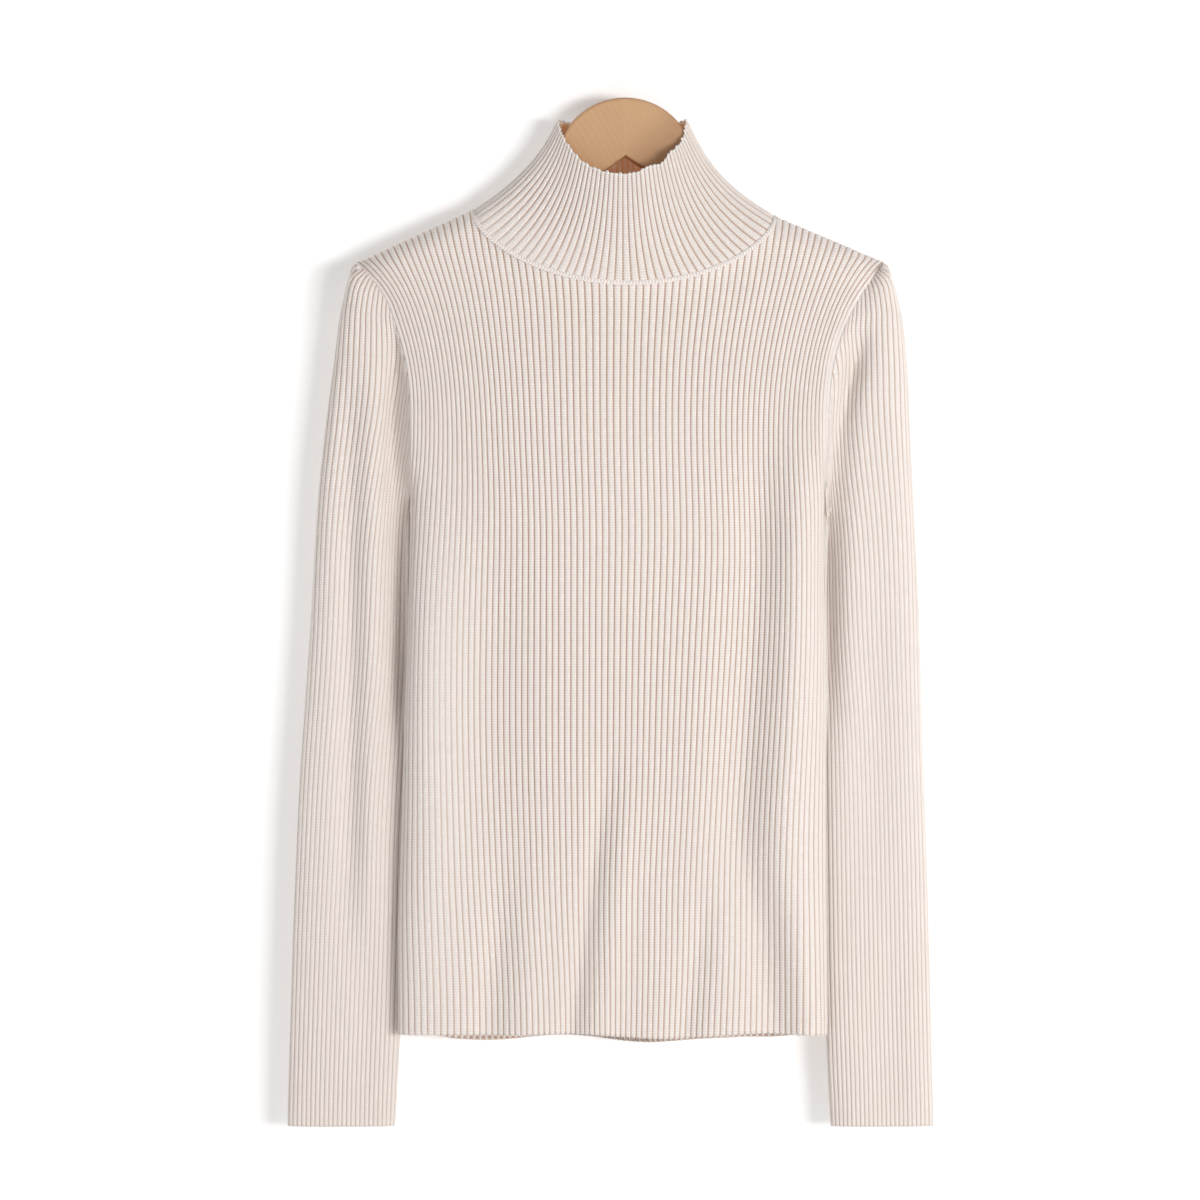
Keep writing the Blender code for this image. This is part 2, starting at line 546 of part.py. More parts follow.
def strip(first, second):
    """Triangles between two lists of point numbers that start and end side by side."""
    faces = []
    i = j = 0
    while i < len(first) - 1 or j < len(second) - 1:
        share_i = (i + 1) / (len(first) - 1) if i < len(first) - 1 else 2.0
        share_j = (j + 1) / (len(second) - 1) if j < len(second) - 1 else 2.0
        if share_i <= share_j:
            faces.append((first[i], second[j], first[i + 1]))
            i += 1
        else:
            faces.append((first[i], second[j], second[j + 1]))
            j += 1
    return faces


def turning_place(columns, k):
    """Column at which a strip moves past entry k, doubled. A coarse list moves only at a valley."""
    if k >= len(columns) - 1:
        return np.inf
    both = columns[k] + columns[k + 1]
    return both if columns[k + 1] - columns[k] == 1 else 4 * round(both / 4)


def matched_strip(first, first_columns, second, second_columns):
    """Triangles between two lists whose entries stand at the given columns."""
    faces = []
    i = j = 0
    while i < len(first) - 1 or j < len(second) - 1:
        if turning_place(first_columns, i) <= turning_place(second_columns, j):
            faces.append((first[i], second[j], first[i + 1]))
            i += 1
        else:
            faces.append((first[i], second[j], second[j + 1]))
            j += 1
    return faces


def wall(name, points, normals, rise, inner_columns, wrap, row_columns, look):
    """A closed ribbed wall: raised ribs outside, a plain inside of fewer columns.

    row_columns gives the rows whose inside keeps other columns, for a tight seam or a clean rim.
    """
    rows, columns = points.shape[:2]
    outer = points + rise[:, :, None] * normals
    inner = points - WALL * normals
    number = np.arange(rows * columns).reshape(rows, columns)
    places = [outer.reshape(-1, 3)]
    start = rows * columns
    inner_number = []
    inner_at = []
    for r in range(rows):
        kept = np.array(row_columns.get(r, inner_columns))
        places.append(inner[r, kept])
        inner_number.append(list(range(start, start + len(kept))))
        inner_at.append(list(kept))
        start += len(kept)
    outer_number = [list(row) for row in number]
    outer_at = [list(range(columns)) for _ in range(rows)]
    if wrap:
        for numbers, at in zip(outer_number + inner_number, outer_at + inner_at):
            numbers.append(numbers[0])
            at.append(columns)
    faces = []
    for r in range(rows - 1):
        faces += matched_strip(outer_number[r], outer_at[r], outer_number[r + 1], outer_at[r + 1])
        faces += matched_strip(inner_number[r + 1], inner_at[r + 1], inner_number[r], inner_at[r])
    faces += matched_strip(inner_number[0], inner_at[0], outer_number[0], outer_at[0])
    faces += matched_strip(outer_number[-1], outer_at[-1], inner_number[-1], inner_at[-1])
    if not wrap:
        faces += strip([row[0] for row in outer_number], [row[0] for row in inner_number])
        faces += strip([row[-1] for row in inner_number], [row[-1] for row in outer_number])
    return add_solid(name, np.concatenate(places), faces, look)


def material(look):
    found = bpy.data.materials.get(look["name"])
    if found:
        return found
    made = bpy.data.materials.new(look["name"])
    made.use_nodes = True
    shader = made.node_tree.nodes["Principled BSDF"]
    shader.inputs["Base Color"].default_value = linear_colour(look["colour"])
    shader.inputs["Roughness"].default_value = look["roughness"]
    shader.inputs["Metallic"].default_value = 0.0
    return made


def add_solid(name, places, faces, look):
    """A named mesh object in world metres, facing out, smooth but for its rims and corners."""
    mesh = bpy.data.meshes.new(name)
    mesh.from_pydata((places * MM).tolist(), [], faces)
    shape = bmesh.new()
    shape.from_mesh(mesh)
    bmesh.ops.recalc_face_normals(shape, faces=shape.faces)
    for face in shape.faces:
        face.smooth = True
    for edge in shape.edges:
        edge.smooth = edge.calc_face_angle(0.0) < SHARP_ANGLE
    shape.to_mesh(mesh)
    shape.free()
    mesh.materials.append(material(look))
    solid = bpy.data.objects.new(name, mesh)
    bpy.context.scene.collection.objects.link(solid)
    return solid


def hanger_outline(top, foot):
    """One half of the hanger seen from the front, in the order head, arm top, arm end, arm foot."""
    start = np.arcsin(top[0, 0] / HEAD_RADIUS)
    turn = np.linspace(0.0, start, 15)[:-1]
    head = np.stack([HEAD_RADIUS * np.sin(turn), HEAD_RADIUS * (np.cos(turn) - 1.0)], axis=-1)
    outline = np.concatenate([head, top, foot[::-1]])
    outline[:, 0] = np.maximum(outline[:, 0], HANGER_GAP)
    return outline


def hanger_half(name, top, foot, direction, look):
    """A flat board with eased edges."""
    outline = hanger_outline(top, foot)
    ahead = np.roll(outline, -1, axis=0) - outline
    behind = outline - np.roll(outline, 1, axis=0)
    inward = unit(ahead) + unit(behind)
    inward = unit(np.stack([inward[:, 1], -inward[:, 0]], axis=-1))
    on_joint = outline[:, 0] <= HANGER_GAP
    inward[on_joint, 0] = 0.0
    ease = HANGER_EDGE_EASE
    layers = []
    for depth, shrink in ((0.0, ease), (0.3 * ease, 0.3 * ease), (ease, 0.0)):
        layers.append((depth - HANGER_HALF_THICKNESS, shrink))
    layers += [(-y, shrink) for y, shrink in layers[::-1]]
    places = []
    for y, shrink in layers:
        flat = outline + inward * shrink
        places.append(np.stack([direction * flat[:, 0], np.full(len(flat), y), flat[:, 1]], axis=-1))
    count = len(outline)
    faces = []
    for k in range(len(layers) - 1):
        for i in range(count):
            j = (i + 1) % count
            faces.append((k * count + i, k * count + j, (k + 1) * count + j, (k + 1) * count + i))
    faces.append(tuple(range(count)))
    faces.append(tuple(range((len(layers) - 1) * count, len(layers) * count))[::-1])
    return add_solid(name, np.concatenate(places), faces, look)


def rib_rise(shape):
    """Height of the outside above the valleys: every second column is a rib's crest."""
    return np.tile(np.where(np.arange(shape[1]) % 2 == 1, RIB_RISE, 0.0), (shape[0], 1))


def panel_rise(points):
    """The fashioned edge along the lower armhole is plain."""
    columns = points.shape[1]
    from_edge = np.minimum(np.arange(columns), columns - 1 - np.arange(columns))
    below_top = np.clip((-140.0 - points[:, :, 2]) / 30.0, 0.0, 1.0)
    above_foot = np.clip((points[:, :, 2] + 320.0) / 30.0, 0.0, 1.0)
    plain = below_top * above_foot
    kept = np.clip((from_edge - 1) / 5.0, 0.0, 1.0)
    return rib_rise(points.shape) * (1.0 - plain * (1.0 - kept))


def sleeve_rise(points):
    """The ribs die out at the underarm."""
    columns = points.shape[1]
    from_underarm = np.minimum(np.arange(columns), columns - np.arange(columns))
    down = points[:1, :, 2] - points[:, :, 2]
    plain = np.clip(1.0 - down / 30.0, 0.0, 1.0) * np.clip(1.0 - from_underarm / 16.0, 0.0, 1.0)
    return rib_rise(points.shape) * (1.0 - np.sqrt(plain))


def panel_inner_columns(step):
    """Columns kept on a panel's plain inside: close together near the sides."""
    near = [0, 2, 4, 6, 8]
    far = [2 * PANEL_RIBS - c for c in near][::-1]
    return near + list(range(12, 2 * PANEL_RIBS - 11, step)) + far


def panel_seam_columns(corners):
    """Columns kept at a panel's top edge: every valley, and all beside the neck corners."""
    kept = set(range(0, 2 * PANEL_RIBS + 1, 2))
    kept |= {corners[0] + 1, corners[0] + 3, corners[1] - 1, corners[1] - 3}
    return sorted(kept)


def sleeve_inner_columns():
    """Columns kept on a sleeve's plain inside: close together where the flat tube turns."""
    turns = [0, 2, 4, 6, 10, 14, 18, 22, 26, 30, 34, 38, 40, 42]
    return turns + [c + SLEEVE_RIBS for c in turns]


def build():
    for old in list(bpy.data.objects):
        bpy.data.objects.remove(old)
    front, front_corners = panel_points(FRONT_NECK, FRONT_FOLDS, -1, PANEL_ROWS)
    back, back_corners = panel_points(BACK_NECK, BACK_FOLDS, 1, PANEL_ROWS)
    armholes = []
    necks = []
    for column, direction in ((0, -1.0), (-1, 1.0)):
        loop = armhole_loop(front, back, column)
        armholes.append((loop, armhole_normals(loop, direction)))
    bodies = (
        ("front", front, front_corners, FRONT_NECK, -1),
        ("back", back, back_corners, BACK_NECK, 1))
    for name, points, corners, shape, side in bodies:
        placed, normals, neck_seam = finish_panel(
            points, corners, shape, side, armholes[0], armholes[1])
        necks.append(neck_seam)
        rims = {0: panel_seam_columns(corners), len(PANEL_ROWS) - 1: panel_inner_columns(4)}
        wall(name, placed, normals, panel_rise(placed), panel_inner_columns(6), False, rims, CREAM)
    left_folds = (LEFT_SLEEVE_FRONT_FOLDS, LEFT_SLEEVE_BACK_FOLDS)
    right_folds = (RIGHT_SLEEVE_FRONT_FOLDS, RIGHT_SLEEVE_BACK_FOLDS)
    sleeves = (
        ("sleeve_left", armholes[0][0], -1.0, LEFT_SLEEVE, left_folds),
        ("sleeve_right", armholes[1][0], 1.0, RIGHT_SLEEVE, right_folds))
    for name, seam, direction, table, folds in sleeves:
        points, edge = sleeve_points(seam, table, folds[0], folds[1], SLEEVE_ROWS)
        placed, normals = finish_sleeve(points, edge, direction)
        rims = {0: range(0, 2 * SLEEVE_RIBS, 2)}
        wall(name, placed, normals, sleeve_rise(placed), sleeve_inner_columns(), True, rims, CREAM)
    placed, normals = collar_points(necks[0], necks[1], COLLAR_ROWS)
    wall("collar", placed, normals, rib_rise(placed.shape), range(0, placed.shape[1], 4), True,
         {len(COLLAR_ROWS) - 1: range(0, placed.shape[1], 2)}, CREAM)
    hanger_half("hanger_half_left", LEFT_ARM_TOP, LEFT_ARM_FOOT, -1.0, BEECH)
    hanger_half("hanger_half_right", RIGHT_ARM_TOP, RIGHT_ARM_FOOT, 1.0, BEECH)


build()
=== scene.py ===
import math

import bmesh
import bpy
import numpy as np
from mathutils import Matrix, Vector


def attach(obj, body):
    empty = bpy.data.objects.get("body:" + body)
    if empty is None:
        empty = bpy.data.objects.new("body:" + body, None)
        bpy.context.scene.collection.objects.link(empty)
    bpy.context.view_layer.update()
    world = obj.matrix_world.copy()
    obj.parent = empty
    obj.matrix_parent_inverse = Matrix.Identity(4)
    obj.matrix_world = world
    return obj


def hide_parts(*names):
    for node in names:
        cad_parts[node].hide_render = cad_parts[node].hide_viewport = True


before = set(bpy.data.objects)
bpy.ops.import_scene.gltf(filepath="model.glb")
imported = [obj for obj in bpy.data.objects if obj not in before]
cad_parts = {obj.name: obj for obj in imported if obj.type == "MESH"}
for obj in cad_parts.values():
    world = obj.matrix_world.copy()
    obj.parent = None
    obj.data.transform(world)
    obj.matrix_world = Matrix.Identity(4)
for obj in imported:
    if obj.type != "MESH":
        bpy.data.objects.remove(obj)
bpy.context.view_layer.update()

MM = 0.001

# Knit: ribs of each piece (as in the solids, but finer on the sleeves), how far a rib stands out,
# how much of that stays where the knit is stretched, a stitch course, the cloth's own thickness.
PANEL_RIBS = 78
SLEEVE_RIBS = 52
COLLAR_FRONT_RIBS = 46
COLLAR_BACK_RIBS = 42
RIB_RISE = 1.25
RELIEF_KEPT = 0.45
COURSE = 1.8
CLOTH = 1.6

# Places of the mesh columns across one rib, from valley to valley.
RIB_PLACES = np.array([0.0, 0.1, 0.26, 0.5, 0.74, 0.9])

# Hanger, as in its solids: its head's radius, the notch's top, the glue between its halves.
HEAD_RADIUS = 48.3
NOTCH_Z = -40.7
GLUE_SIZE = (0.00029, 0.009, 0.0403)

# Main heights, below the hanger's crown.
SHOULDER_Z = -113.9
UNDERARM_Z = -270.0
HEM_Z = -645.0
CUFF_Z = -710.0
NECK_LEFT = (-105.6, -77.6)
NECK_RIGHT = (103.8, -82.1)
SHOULDER_LEFT_X = -184.9
SHOULDER_RIGHT_X = 178.7

# Neck seam: how far it drops and how far it stands off the middle plane.
FRONT_NECK = dict(drop=49.5, stand=26.0, bend=1.24)
BACK_NECK = dict(drop=18.0, stand=22.0, bend=1.1)
NECK_CORNER_STAND = 16.0

# Top edge of the collar, and how the collar widens from it to the neck seam.
COLLAR_TOP_Z = -15.5
COLLAR_TOP_CENTRE_X = -1.8
COLLAR_TOP_HALF_WIDTH = 43.9
COLLAR_FRONT_DIP = 39.5
COLLAR_FRONT_STAND = 25.0
COLLAR_BACK_STAND = 22.0
COLLAR_BACK_DIP = 1.0
COLLAR_FLARE = dict(straight=0.5, left=2.4, right=2.9)

# How the tubes turn at the shoulders, armholes and sides.
SHOULDER_ROUNDING = 16.0
ARMHOLE_HALF_DEPTH = 16.5
SIDE_SQUARENESS = 14
SLEEVE_SQUARENESS = (3.6, 0.4)

# Length over which a sleeve leaves its armhole.
UNDERARM_BLEND = 14.0

# Above this height the armhole and the sleeve head keep their drawn curves.
DRAWN_ABOVE = -150.0

# Outer edge of the body at each side: armhole seam, then the side. Columns: z, x.
LEFT_EDGE = np.array([
    (-60, -219), (-90, -202), (-113.9, -184.9), (-121, -177.9), (-129.7, -170.4),
    (-141.5, -163.2), (-157.3, -157.3), (-173.2, -152.6), (-187, -149.4), (-205, -147.3),
    (-240, -146.8), (-270, -147.2), (-318.8, -147.8), (-374, -149.2), (-429, -151.3),
    (-500, -153.3), (-568, -155.6), (-645, -156.1)])
RIGHT_EDGE = np.array([
    (-60, 211), (-90, 194), (-113.9, 178.7), (-120.5, 173), (-136.6, 161.5),
    (-150.4, 154.2), (-166.3, 147.6), (-179.4, 143.6), (-200, 140.6), (-221, 139.3),
    (-252, 138.2), (-290, 137), (-341, 136.4), (-374, 137.5), (-470, 137.5),
    (-553, 138.2), (-645, 138.9)])

# Body tube. Columns: z, half depth beside the edges, extra fullness of the front, of the back,
# crowding of the ribs toward the sides (negative crowds them to the middle).
BODY = np.array([
    (-60, 14, 2, 1, 0.24), (-130, 16, 5, 2, 0.24),
    (-200, 18.5, 6.5, 3, 0.20), (-270, 19, 6, 3.5, 0.14),
    (-360, 17.5, 4, 3, 0.07), (-450, 16.5, 2.5, 2.5, 0.02),
    (-560, 15.5, 2, 2, -0.06), (-645, 15, 2, 2, -0.12)])

# Sleeve tubes, which hang beside the back half of the body. Columns: z, outer x, inner x,
# half depth, middle y.
LEFT_SLEEVE = np.array([
    (-100, -182, -150, 15, 0), (-113.9, -184.9, -151, 16, 0),
    (-120, -188.3, -151.5, 16.5, 0), (-135, -192.3, -152, 17, 0.5),
    (-153, -196.3, -152.5, 17.5, 1), (-176.6, -199.1, -153, 17.5, 2.5),
    (-200, -202.5, -153.5, 17.5, 4), (-221.5, -205.3, -153.6, 17, 5),
    (-263.6, -210.4, -149.9, 16, 7), (-280, -211.7, -149.6, 15.5, 8),
    (-300, -213.3, -149.4, 14.5, 9.5), (-362, -216.8, -148.9, 12, 11.5),
    (-420, -220.9, -150.3, 10.5, 12), (-477, -225, -152.2, 9.5, 12),
    (-568, -228.8, -155.2, 9, 12), (-645, -231.2, -156.4, 8.5, 12),
    (-711, -233, -160, 8, 12)])
RIGHT_SLEEVE = np.array([
    (-100, 176, 142, 15, 0), (-114.5, 178.7, 142.5, 16, 0),
    (-119, 181.2, 142.7, 16.5, 0), (-126.3, 183.7, 143, 17, 0.5),
    (-135, 186.1, 143.3, 17, 0.5), (-153.2, 190.8, 143.8, 17.5, 1),
    (-187.7, 194.2, 144.3, 17.5, 3), (-221, 195.8, 144.4, 17, 5),
    (-263.6, 197.8, 139.8, 16, 7), (-280, 198.7, 138.9, 15.5, 8),
    (-311.9, 200.6, 137.6, 14, 10), (-352, 202.8, 136.9, 12.5, 11.5),
    (-394.7, 204, 137.7, 11, 12), (-449.9, 205.4, 137.9, 10, 12),
    (-525.8, 208.3, 138.3, 9.2, 12), (-608.6, 210.5, 139, 8.7, 12),
    (-670.7, 211.9, 141, 8.2, 12), (-711, 213.2, 143.4, 8, 12)])

# Soft folds. Columns: middle x at the top and at the foot, z of the top and of the foot,
# half width, depth into the garment (negative stands out), fade length at each end.
FRONT_FOLDS = np.array([
    (98, 72, -190, -580, 17, 8.5, 120),
    (128, 104, -190, -580, 17, -7, 120),
    (76, 124, -460, -780, 16, 8.5, 120),
    (104, 152, -460, -780, 17, -7, 120),
    (-139, -141, -280, -640, 24, -4.5, 120),
    (-90, -88, -260, -570, 24, 3.8, 120),
    (-82, -104, -500, -740, 12, 4.6, 90),
    (-60, -74, -500, -740, 13, -2.4, 100),
    (-8, -52, -430, -760, 8, 4.6, 100),
    (10, -34, -430, -760, 12, -3.4, 100),
    (58, 30, -520, -740, 10, 4.4, 90)])
BACK_FOLDS = np.array([
    (-30, -24, -430, -700, 15, 2.8, 120),
    (66, 58, -500, -700, 16, 1.6, 110),
    (-106, -96, -470, -700, 17, 1.6, 100),
    (108, 114, -300, -660, 20, -2, 90),
    (12, 16, -540, -700, 15, -1.5, 80)])

# Studio, in metres: the papers' size, the floor's height, the wall's place and bow, the middle
# that the lights are turned to, and the camera's place and the width that it sees there.
STUDIO_SIZE = 3.0
FLOOR_Z = -0.775
WALL_BOW = dict(y=0.0252, top=-0.15, height=0.85, depth=0.017)
LIGHT_AIM = Vector((0.0, 0.0, -0.35))
CAMERA_PLACE = (-0.01725, -3.0, -0.3464)
SEEN_WIDTH = 0.828
SENSOR_WIDTH = 36.0

# Rows of the grids, as shares of each length: close together beside the seams and rims.
PANEL_LENGTH = 531.0
PANEL_ROWS = np.concatenate([
    [0.0, 0.7, 1.6, 3.0], np.linspace(5.0, 60.0, 18), np.linspace(66.5, 521.0, 66),
    [525.5, 529.0, PANEL_LENGTH]]) / PANEL_LENGTH
SLEEVE_LENGTH = 560.0
SLEEVE_ROWS = np.concatenate([
    [0.0, 0.7, 1.6, 3.0], np.linspace(6.0, 90.0, 24), np.linspace(96.5, 551.0, 66),
    [555.0, 558.0, SLEEVE_LENGTH]]) / SLEEVE_LENGTH
COLLAR_HEIGHT = 75.0
COLLAR_ROWS = np.concatenate([
    [0.0, 1.0, 2.5, 4.5], np.linspace(8.0, 70.0, 16),
    [72.0, 73.2, 74.2, COLLAR_HEIGHT]]) / COLLAR_HEIGHT

# The front rim of the collar is a little uneven. Columns: x, height above its plain curve.
COLLAR_RIM = np.array([
    (-46, 0), (-38, 0.7), (-29, -0.7), (-18, -0.2), (-7, 0.2), (3, 0), (9, 0.2),
    (15, 1.8), (20, 0.6), (24.5, -1.8), (31, 1.4), (36, -1), (39, -2.6), (42.1, 0)])

# The sleeves' folds, each sleeve with a groove beside the body. Columns as in FRONT_FOLDS.
LEFT_SLEEVE_FRONT_FOLDS = np.array([
    (-189.5, -191, -165, -600, 8, 4.4, 90),
    (-173.5, -176, -165, -600, 8, -3.8, 90),
    (-157.5, -154.5, -150, -450, 7.5, 12, 45),
    (-162, -160, -180, -310, 5, 6, 45),
    (-181, -176, -540, -720, 12, 2, 70)])
LEFT_SLEEVE_BACK_FOLDS = np.array([
    (-180, -186, -200, -520, 10, 4.5, 90),
    (-156, -156, -180, -400, 6, 5, 60),
    (-205, -200, -420, -640, 11, 2, 80)])
RIGHT_SLEEVE_FRONT_FOLDS = np.array([
    (164.5, 136.5, -150, -285, 8, 14.5, 40),
    (141.5, 140, -215, -460, 9.5, 12, 90),
    (172, 172, -300, -560, 14, 2.2, 90),
    (186, 180, -560, -720, 12, 1.6, 60)])
RIGHT_SLEEVE_BACK_FOLDS = np.array([
    (148, 147, -180, -400, 6, 5, 60),
    (166, 160, -220, -460, 10, 4, 90),
    (182, 188, -440, -640, 12, 1.8, 80)])

# Easing of the body's ribs past the underarm: heights, and the armhole's depth that they follow.
RIB_EASING = dict(
    top=-190.0, foot=-350.0, depth=14.0, gain=1.8, start=-140.0, start_over=50.0, outerness=8)

# Near the shoulders only the outer ribs follow the armhole outward.
SHOULDER_EASING = dict(half_width=150.0, from_z=-190.0, slope=0.13, outerness=5)

# A rib rounds off its turns over this height. On a sleeve that sets in below the sleeve head.
RIB_EVENING = 30.0
SLEEVE_EVENING = dict(top=-205.0, over=40.0)

# Ribs meet a neck corner by a sideways move that spreads over columns and ends lower down.
CORNER_MOVE = dict(spread=24.0, foot=-330.0, height=260.0)

# The back hem hangs lower by a drop, with dips in it that end to the right.
BACK_HEM = dict(drop=4.9, dip=1.4, phase=98.0, pitch=17.3, end=70.0, end_over=50.0)

# A plain column beside the right armhole's lower part: heights, and ribs from the edge.
PLAIN_COLUMN = dict(top=-140.0, foot=-300.0, over=30.0, start=0.5, ribs=2.0)

# Places where the knit is stretched and its ribs lie flatter.
# Columns: middle x, middle z, half width, half height, loss of relief.
FRONT_STRETCH = np.array([
    (-132, -400, 30, 190, 0.62), (-60, -600, 60, 90, 0.25),
    (90, -560, 60, 110, 0.3), (128, -380, 22, 130, 0.3),
    (20, -280, 60, 60, 0.12), (-140, -600, 22, 60, 0.3)])
BACK_STRETCH = np.array([
    (-120, -430, 34, 170, 0.5), (110, -470, 34, 150, 0.45),
    (10, -590, 70, 80, 0.3), (0, -150, 80, 40, 0.2)])
LEFT_SLEEVE_STRETCH = np.array([
    (-190, -500, 90, 300, 0.58), (-215, -330, 16, 120, 0.2)])
RIGHT_SLEEVE_STRETCH = np.array([
    (175, -440, 90, 260, 0.6), (185, -680, 60, 60, 0.2)])

# Ribs of a sleeve that have left the armhole, on each side of its top. Columns: z, ribs.
SLEEVE_HEAD = np.array([
    (-113.9, 0), (-118.9, 4.8), (-125.9, 8.3), (-137.9, 11.8), (-159.9, 15.4),
    (-195.9, 18.5), (-231.9, 20.6), (-256.9, 22), (-270, 26)])

# Sleeve ribs: reach over which their pitch is evened along the sleeve, height over which that
# sets in below the sleeve head, and how strongly the rest of the slack goes to the outer ribs.
SLEEVE_PITCH = dict(reach=42.0, start=-120.0, start_over=40.0, outerness=7)


def at_height(table, z, column):
    """Value of one column of a table at heights z. The first column holds falling heights."""
    return np.interp(-np.asarray(z), -table[:, 0], table[:, column])


def smooth_at_height(table, z, column):
    """The same, with the corners of the table rounded over about 24 mm."""
    shifts = (-12.0, -6.0, 0.0, 6.0, 12.0)
    weights = (0.12, 0.22, 0.32, 0.22, 0.12)
    return sum(w * at_height(table, np.asarray(z) + s, column) for s, w in zip(shifts, weights))


def unit(vectors):
    """The vectors with a length of 1."""
    return vectors / np.linalg.norm(vectors, axis=-1, keepdims=True)


def held(value):
    """The value kept from 0 to 1."""
    return np.clip(value, 0.0, 1.0)


def soft(value):
    """The same, with soft ends."""
    share = held(value)
    return share * share * (3.0 - 2.0 * share)


def lengths_along(points):
    """Length from the first point of a line to each of its points."""
    return np.concatenate([[0.0], np.cumsum(np.linalg.norm(np.diff(points, axis=0), axis=1))])


def fold_depth(folds, x, z):
    """How far the soft folds push the cloth in at each point."""
    depth = np.zeros(np.broadcast(x, z).shape)
    for x_top, x_foot, z_top, z_foot, half_width, push, fade in folds:
        along = held((z_top - z) / (z_top - z_foot))
        middle = x_top + (x_foot - x_top) * along
        ends = soft(held((z_top - z) / fade) * held((z - z_foot) / fade))
        depth = depth + push * ends * np.exp(-(((x - middle) / half_width) ** 2))
    return depth


def neck_angle(x):
    """Angle round the neck seam, 0 at the left shoulder and pi at the right one."""
    middle = 0.5 * (NECK_LEFT[0] + NECK_RIGHT[0])
    half = 0.5 * (NECK_RIGHT[0] - NECK_LEFT[0])
    return np.arccos(np.clip((middle - x) / half, -1.0, 1.0))


def neck_stand(bow, shape):
    """The neck seam leaves the middle plane over the same rounding as the shoulder."""
    down = held(shape["drop"] * bow ** shape["bend"] / SHOULDER_ROUNDING)
    full = NECK_CORNER_STAND + (shape["stand"] - NECK_CORNER_STAND) * bow
    return full * np.sqrt(1.0 - (1.0 - down) ** 2)


def neck_point(angle, shape, side):
    """Point on the neck seam. side is -1 on the front and 1 on the back."""
    middle = 0.5 * (NECK_LEFT[0] + NECK_RIGHT[0])
    half = 0.5 * (NECK_RIGHT[0] - NECK_LEFT[0])
    x = middle - half * np.cos(angle)
    level = NECK_LEFT[1] + (NECK_RIGHT[1] - NECK_LEFT[1]) * (x - NECK_LEFT[0]) / (2.0 * half)
    bow = held(np.sin(angle))
    height = level - shape["drop"] * bow ** shape["bend"]
    return np.stack([x, side * neck_stand(bow, shape), height], axis=-1)


def top_edge_height(x, shape):
    """Height of a panel's top edge: shoulder seam, neck seam, shoulder seam."""
    left_share = (NECK_LEFT[0] - x) / (NECK_LEFT[0] - SHOULDER_LEFT_X)
    right_share = (x - NECK_RIGHT[0]) / (SHOULDER_RIGHT_X - NECK_RIGHT[0])
    left = NECK_LEFT[1] + (SHOULDER_Z - NECK_LEFT[1]) * left_share
    right = NECK_RIGHT[1] + (SHOULDER_Z - NECK_RIGHT[1]) * right_share
    neck = neck_point(neck_angle(x), shape, 1)[..., 2]
    return np.where(x < NECK_LEFT[0], left, np.where(x > NECK_RIGHT[0], right, neck))


def armhole_half_depth(z):
    """Distance of the armhole seam from the middle plane."""
    middle = 0.5 * (SHOULDER_Z + UNDERARM_Z)
    share = held(np.abs((z - middle) / (SHOULDER_Z - middle)))
    return ARMHOLE_HALF_DEPTH * np.sqrt(1.0 - share ** 2.6)


def edge_x(table, z):
    """The armhole's upper part keeps its drawn curve, and the rest of the side is rounded."""
    return np.where(z > DRAWN_ABOVE, at_height(table, z, 1), smooth_at_height(table, z, 1))


def rib_columns(ribs):
    """Rib coordinate of each mesh column: whole numbers are valleys."""
    whole = np.arange(ribs)[:, None] + RIB_PLACES[None, :]
    return np.append(whole.ravel(), float(ribs))


def rib_profile(u):
    """Height across a rib, 0 in the valley and 1 on its broad crest."""
    side = np.abs(2.0 * (u - np.floor(u)) - 1.0)
    return (1.0 - side ** 3.0) ** 0.75


def crowded_shares(columns, crowding):
    """Shares of the way across a panel, wider in the middle for a positive crowding."""
    even = columns / columns[-1]
    return even + crowding / (2.0 * np.pi) * np.sin(2.0 * np.pi * (even - 0.5))


def sway(x, z):
    """Ribs of a hanging knit wander a little sideways."""
    return 0.9 * np.sin(z / 61.0 + x / 73.0) * np.sin(x / 37.0 + z / 190.0 + 1.0)


def eased_places(shares, length, z, edge):
    """Lengths round a panel at which the ribs stand. Only the outer ones feel the armhole."""
    ease = RIB_EASING
    down = soft((z - ease["foot"]) / (ease["top"] - ease["foot"]))
    slack = ease["gain"] * (ease["depth"] * down - edge)
    slack = slack * held((ease["start"] - z) / ease["start_over"])
    spread = 0.5 * (edge_x(RIGHT_EDGE, z) - edge_x(LEFT_EDGE, z))
    lean = SHOULDER_EASING
    reach = lean["half_width"] + lean["slope"] * max(z - lean["from_z"], 0.0)
    open_out = 2.0 * max(spread - reach, 0.0)
    off = 2.0 * shares - 1.0
    outer = np.abs(off) ** ease["outerness"] * slack + np.abs(off) ** lean["outerness"] * open_out
    return 0.5 * (length + off * (length - slack - open_out) + np.sign(off) * outer)


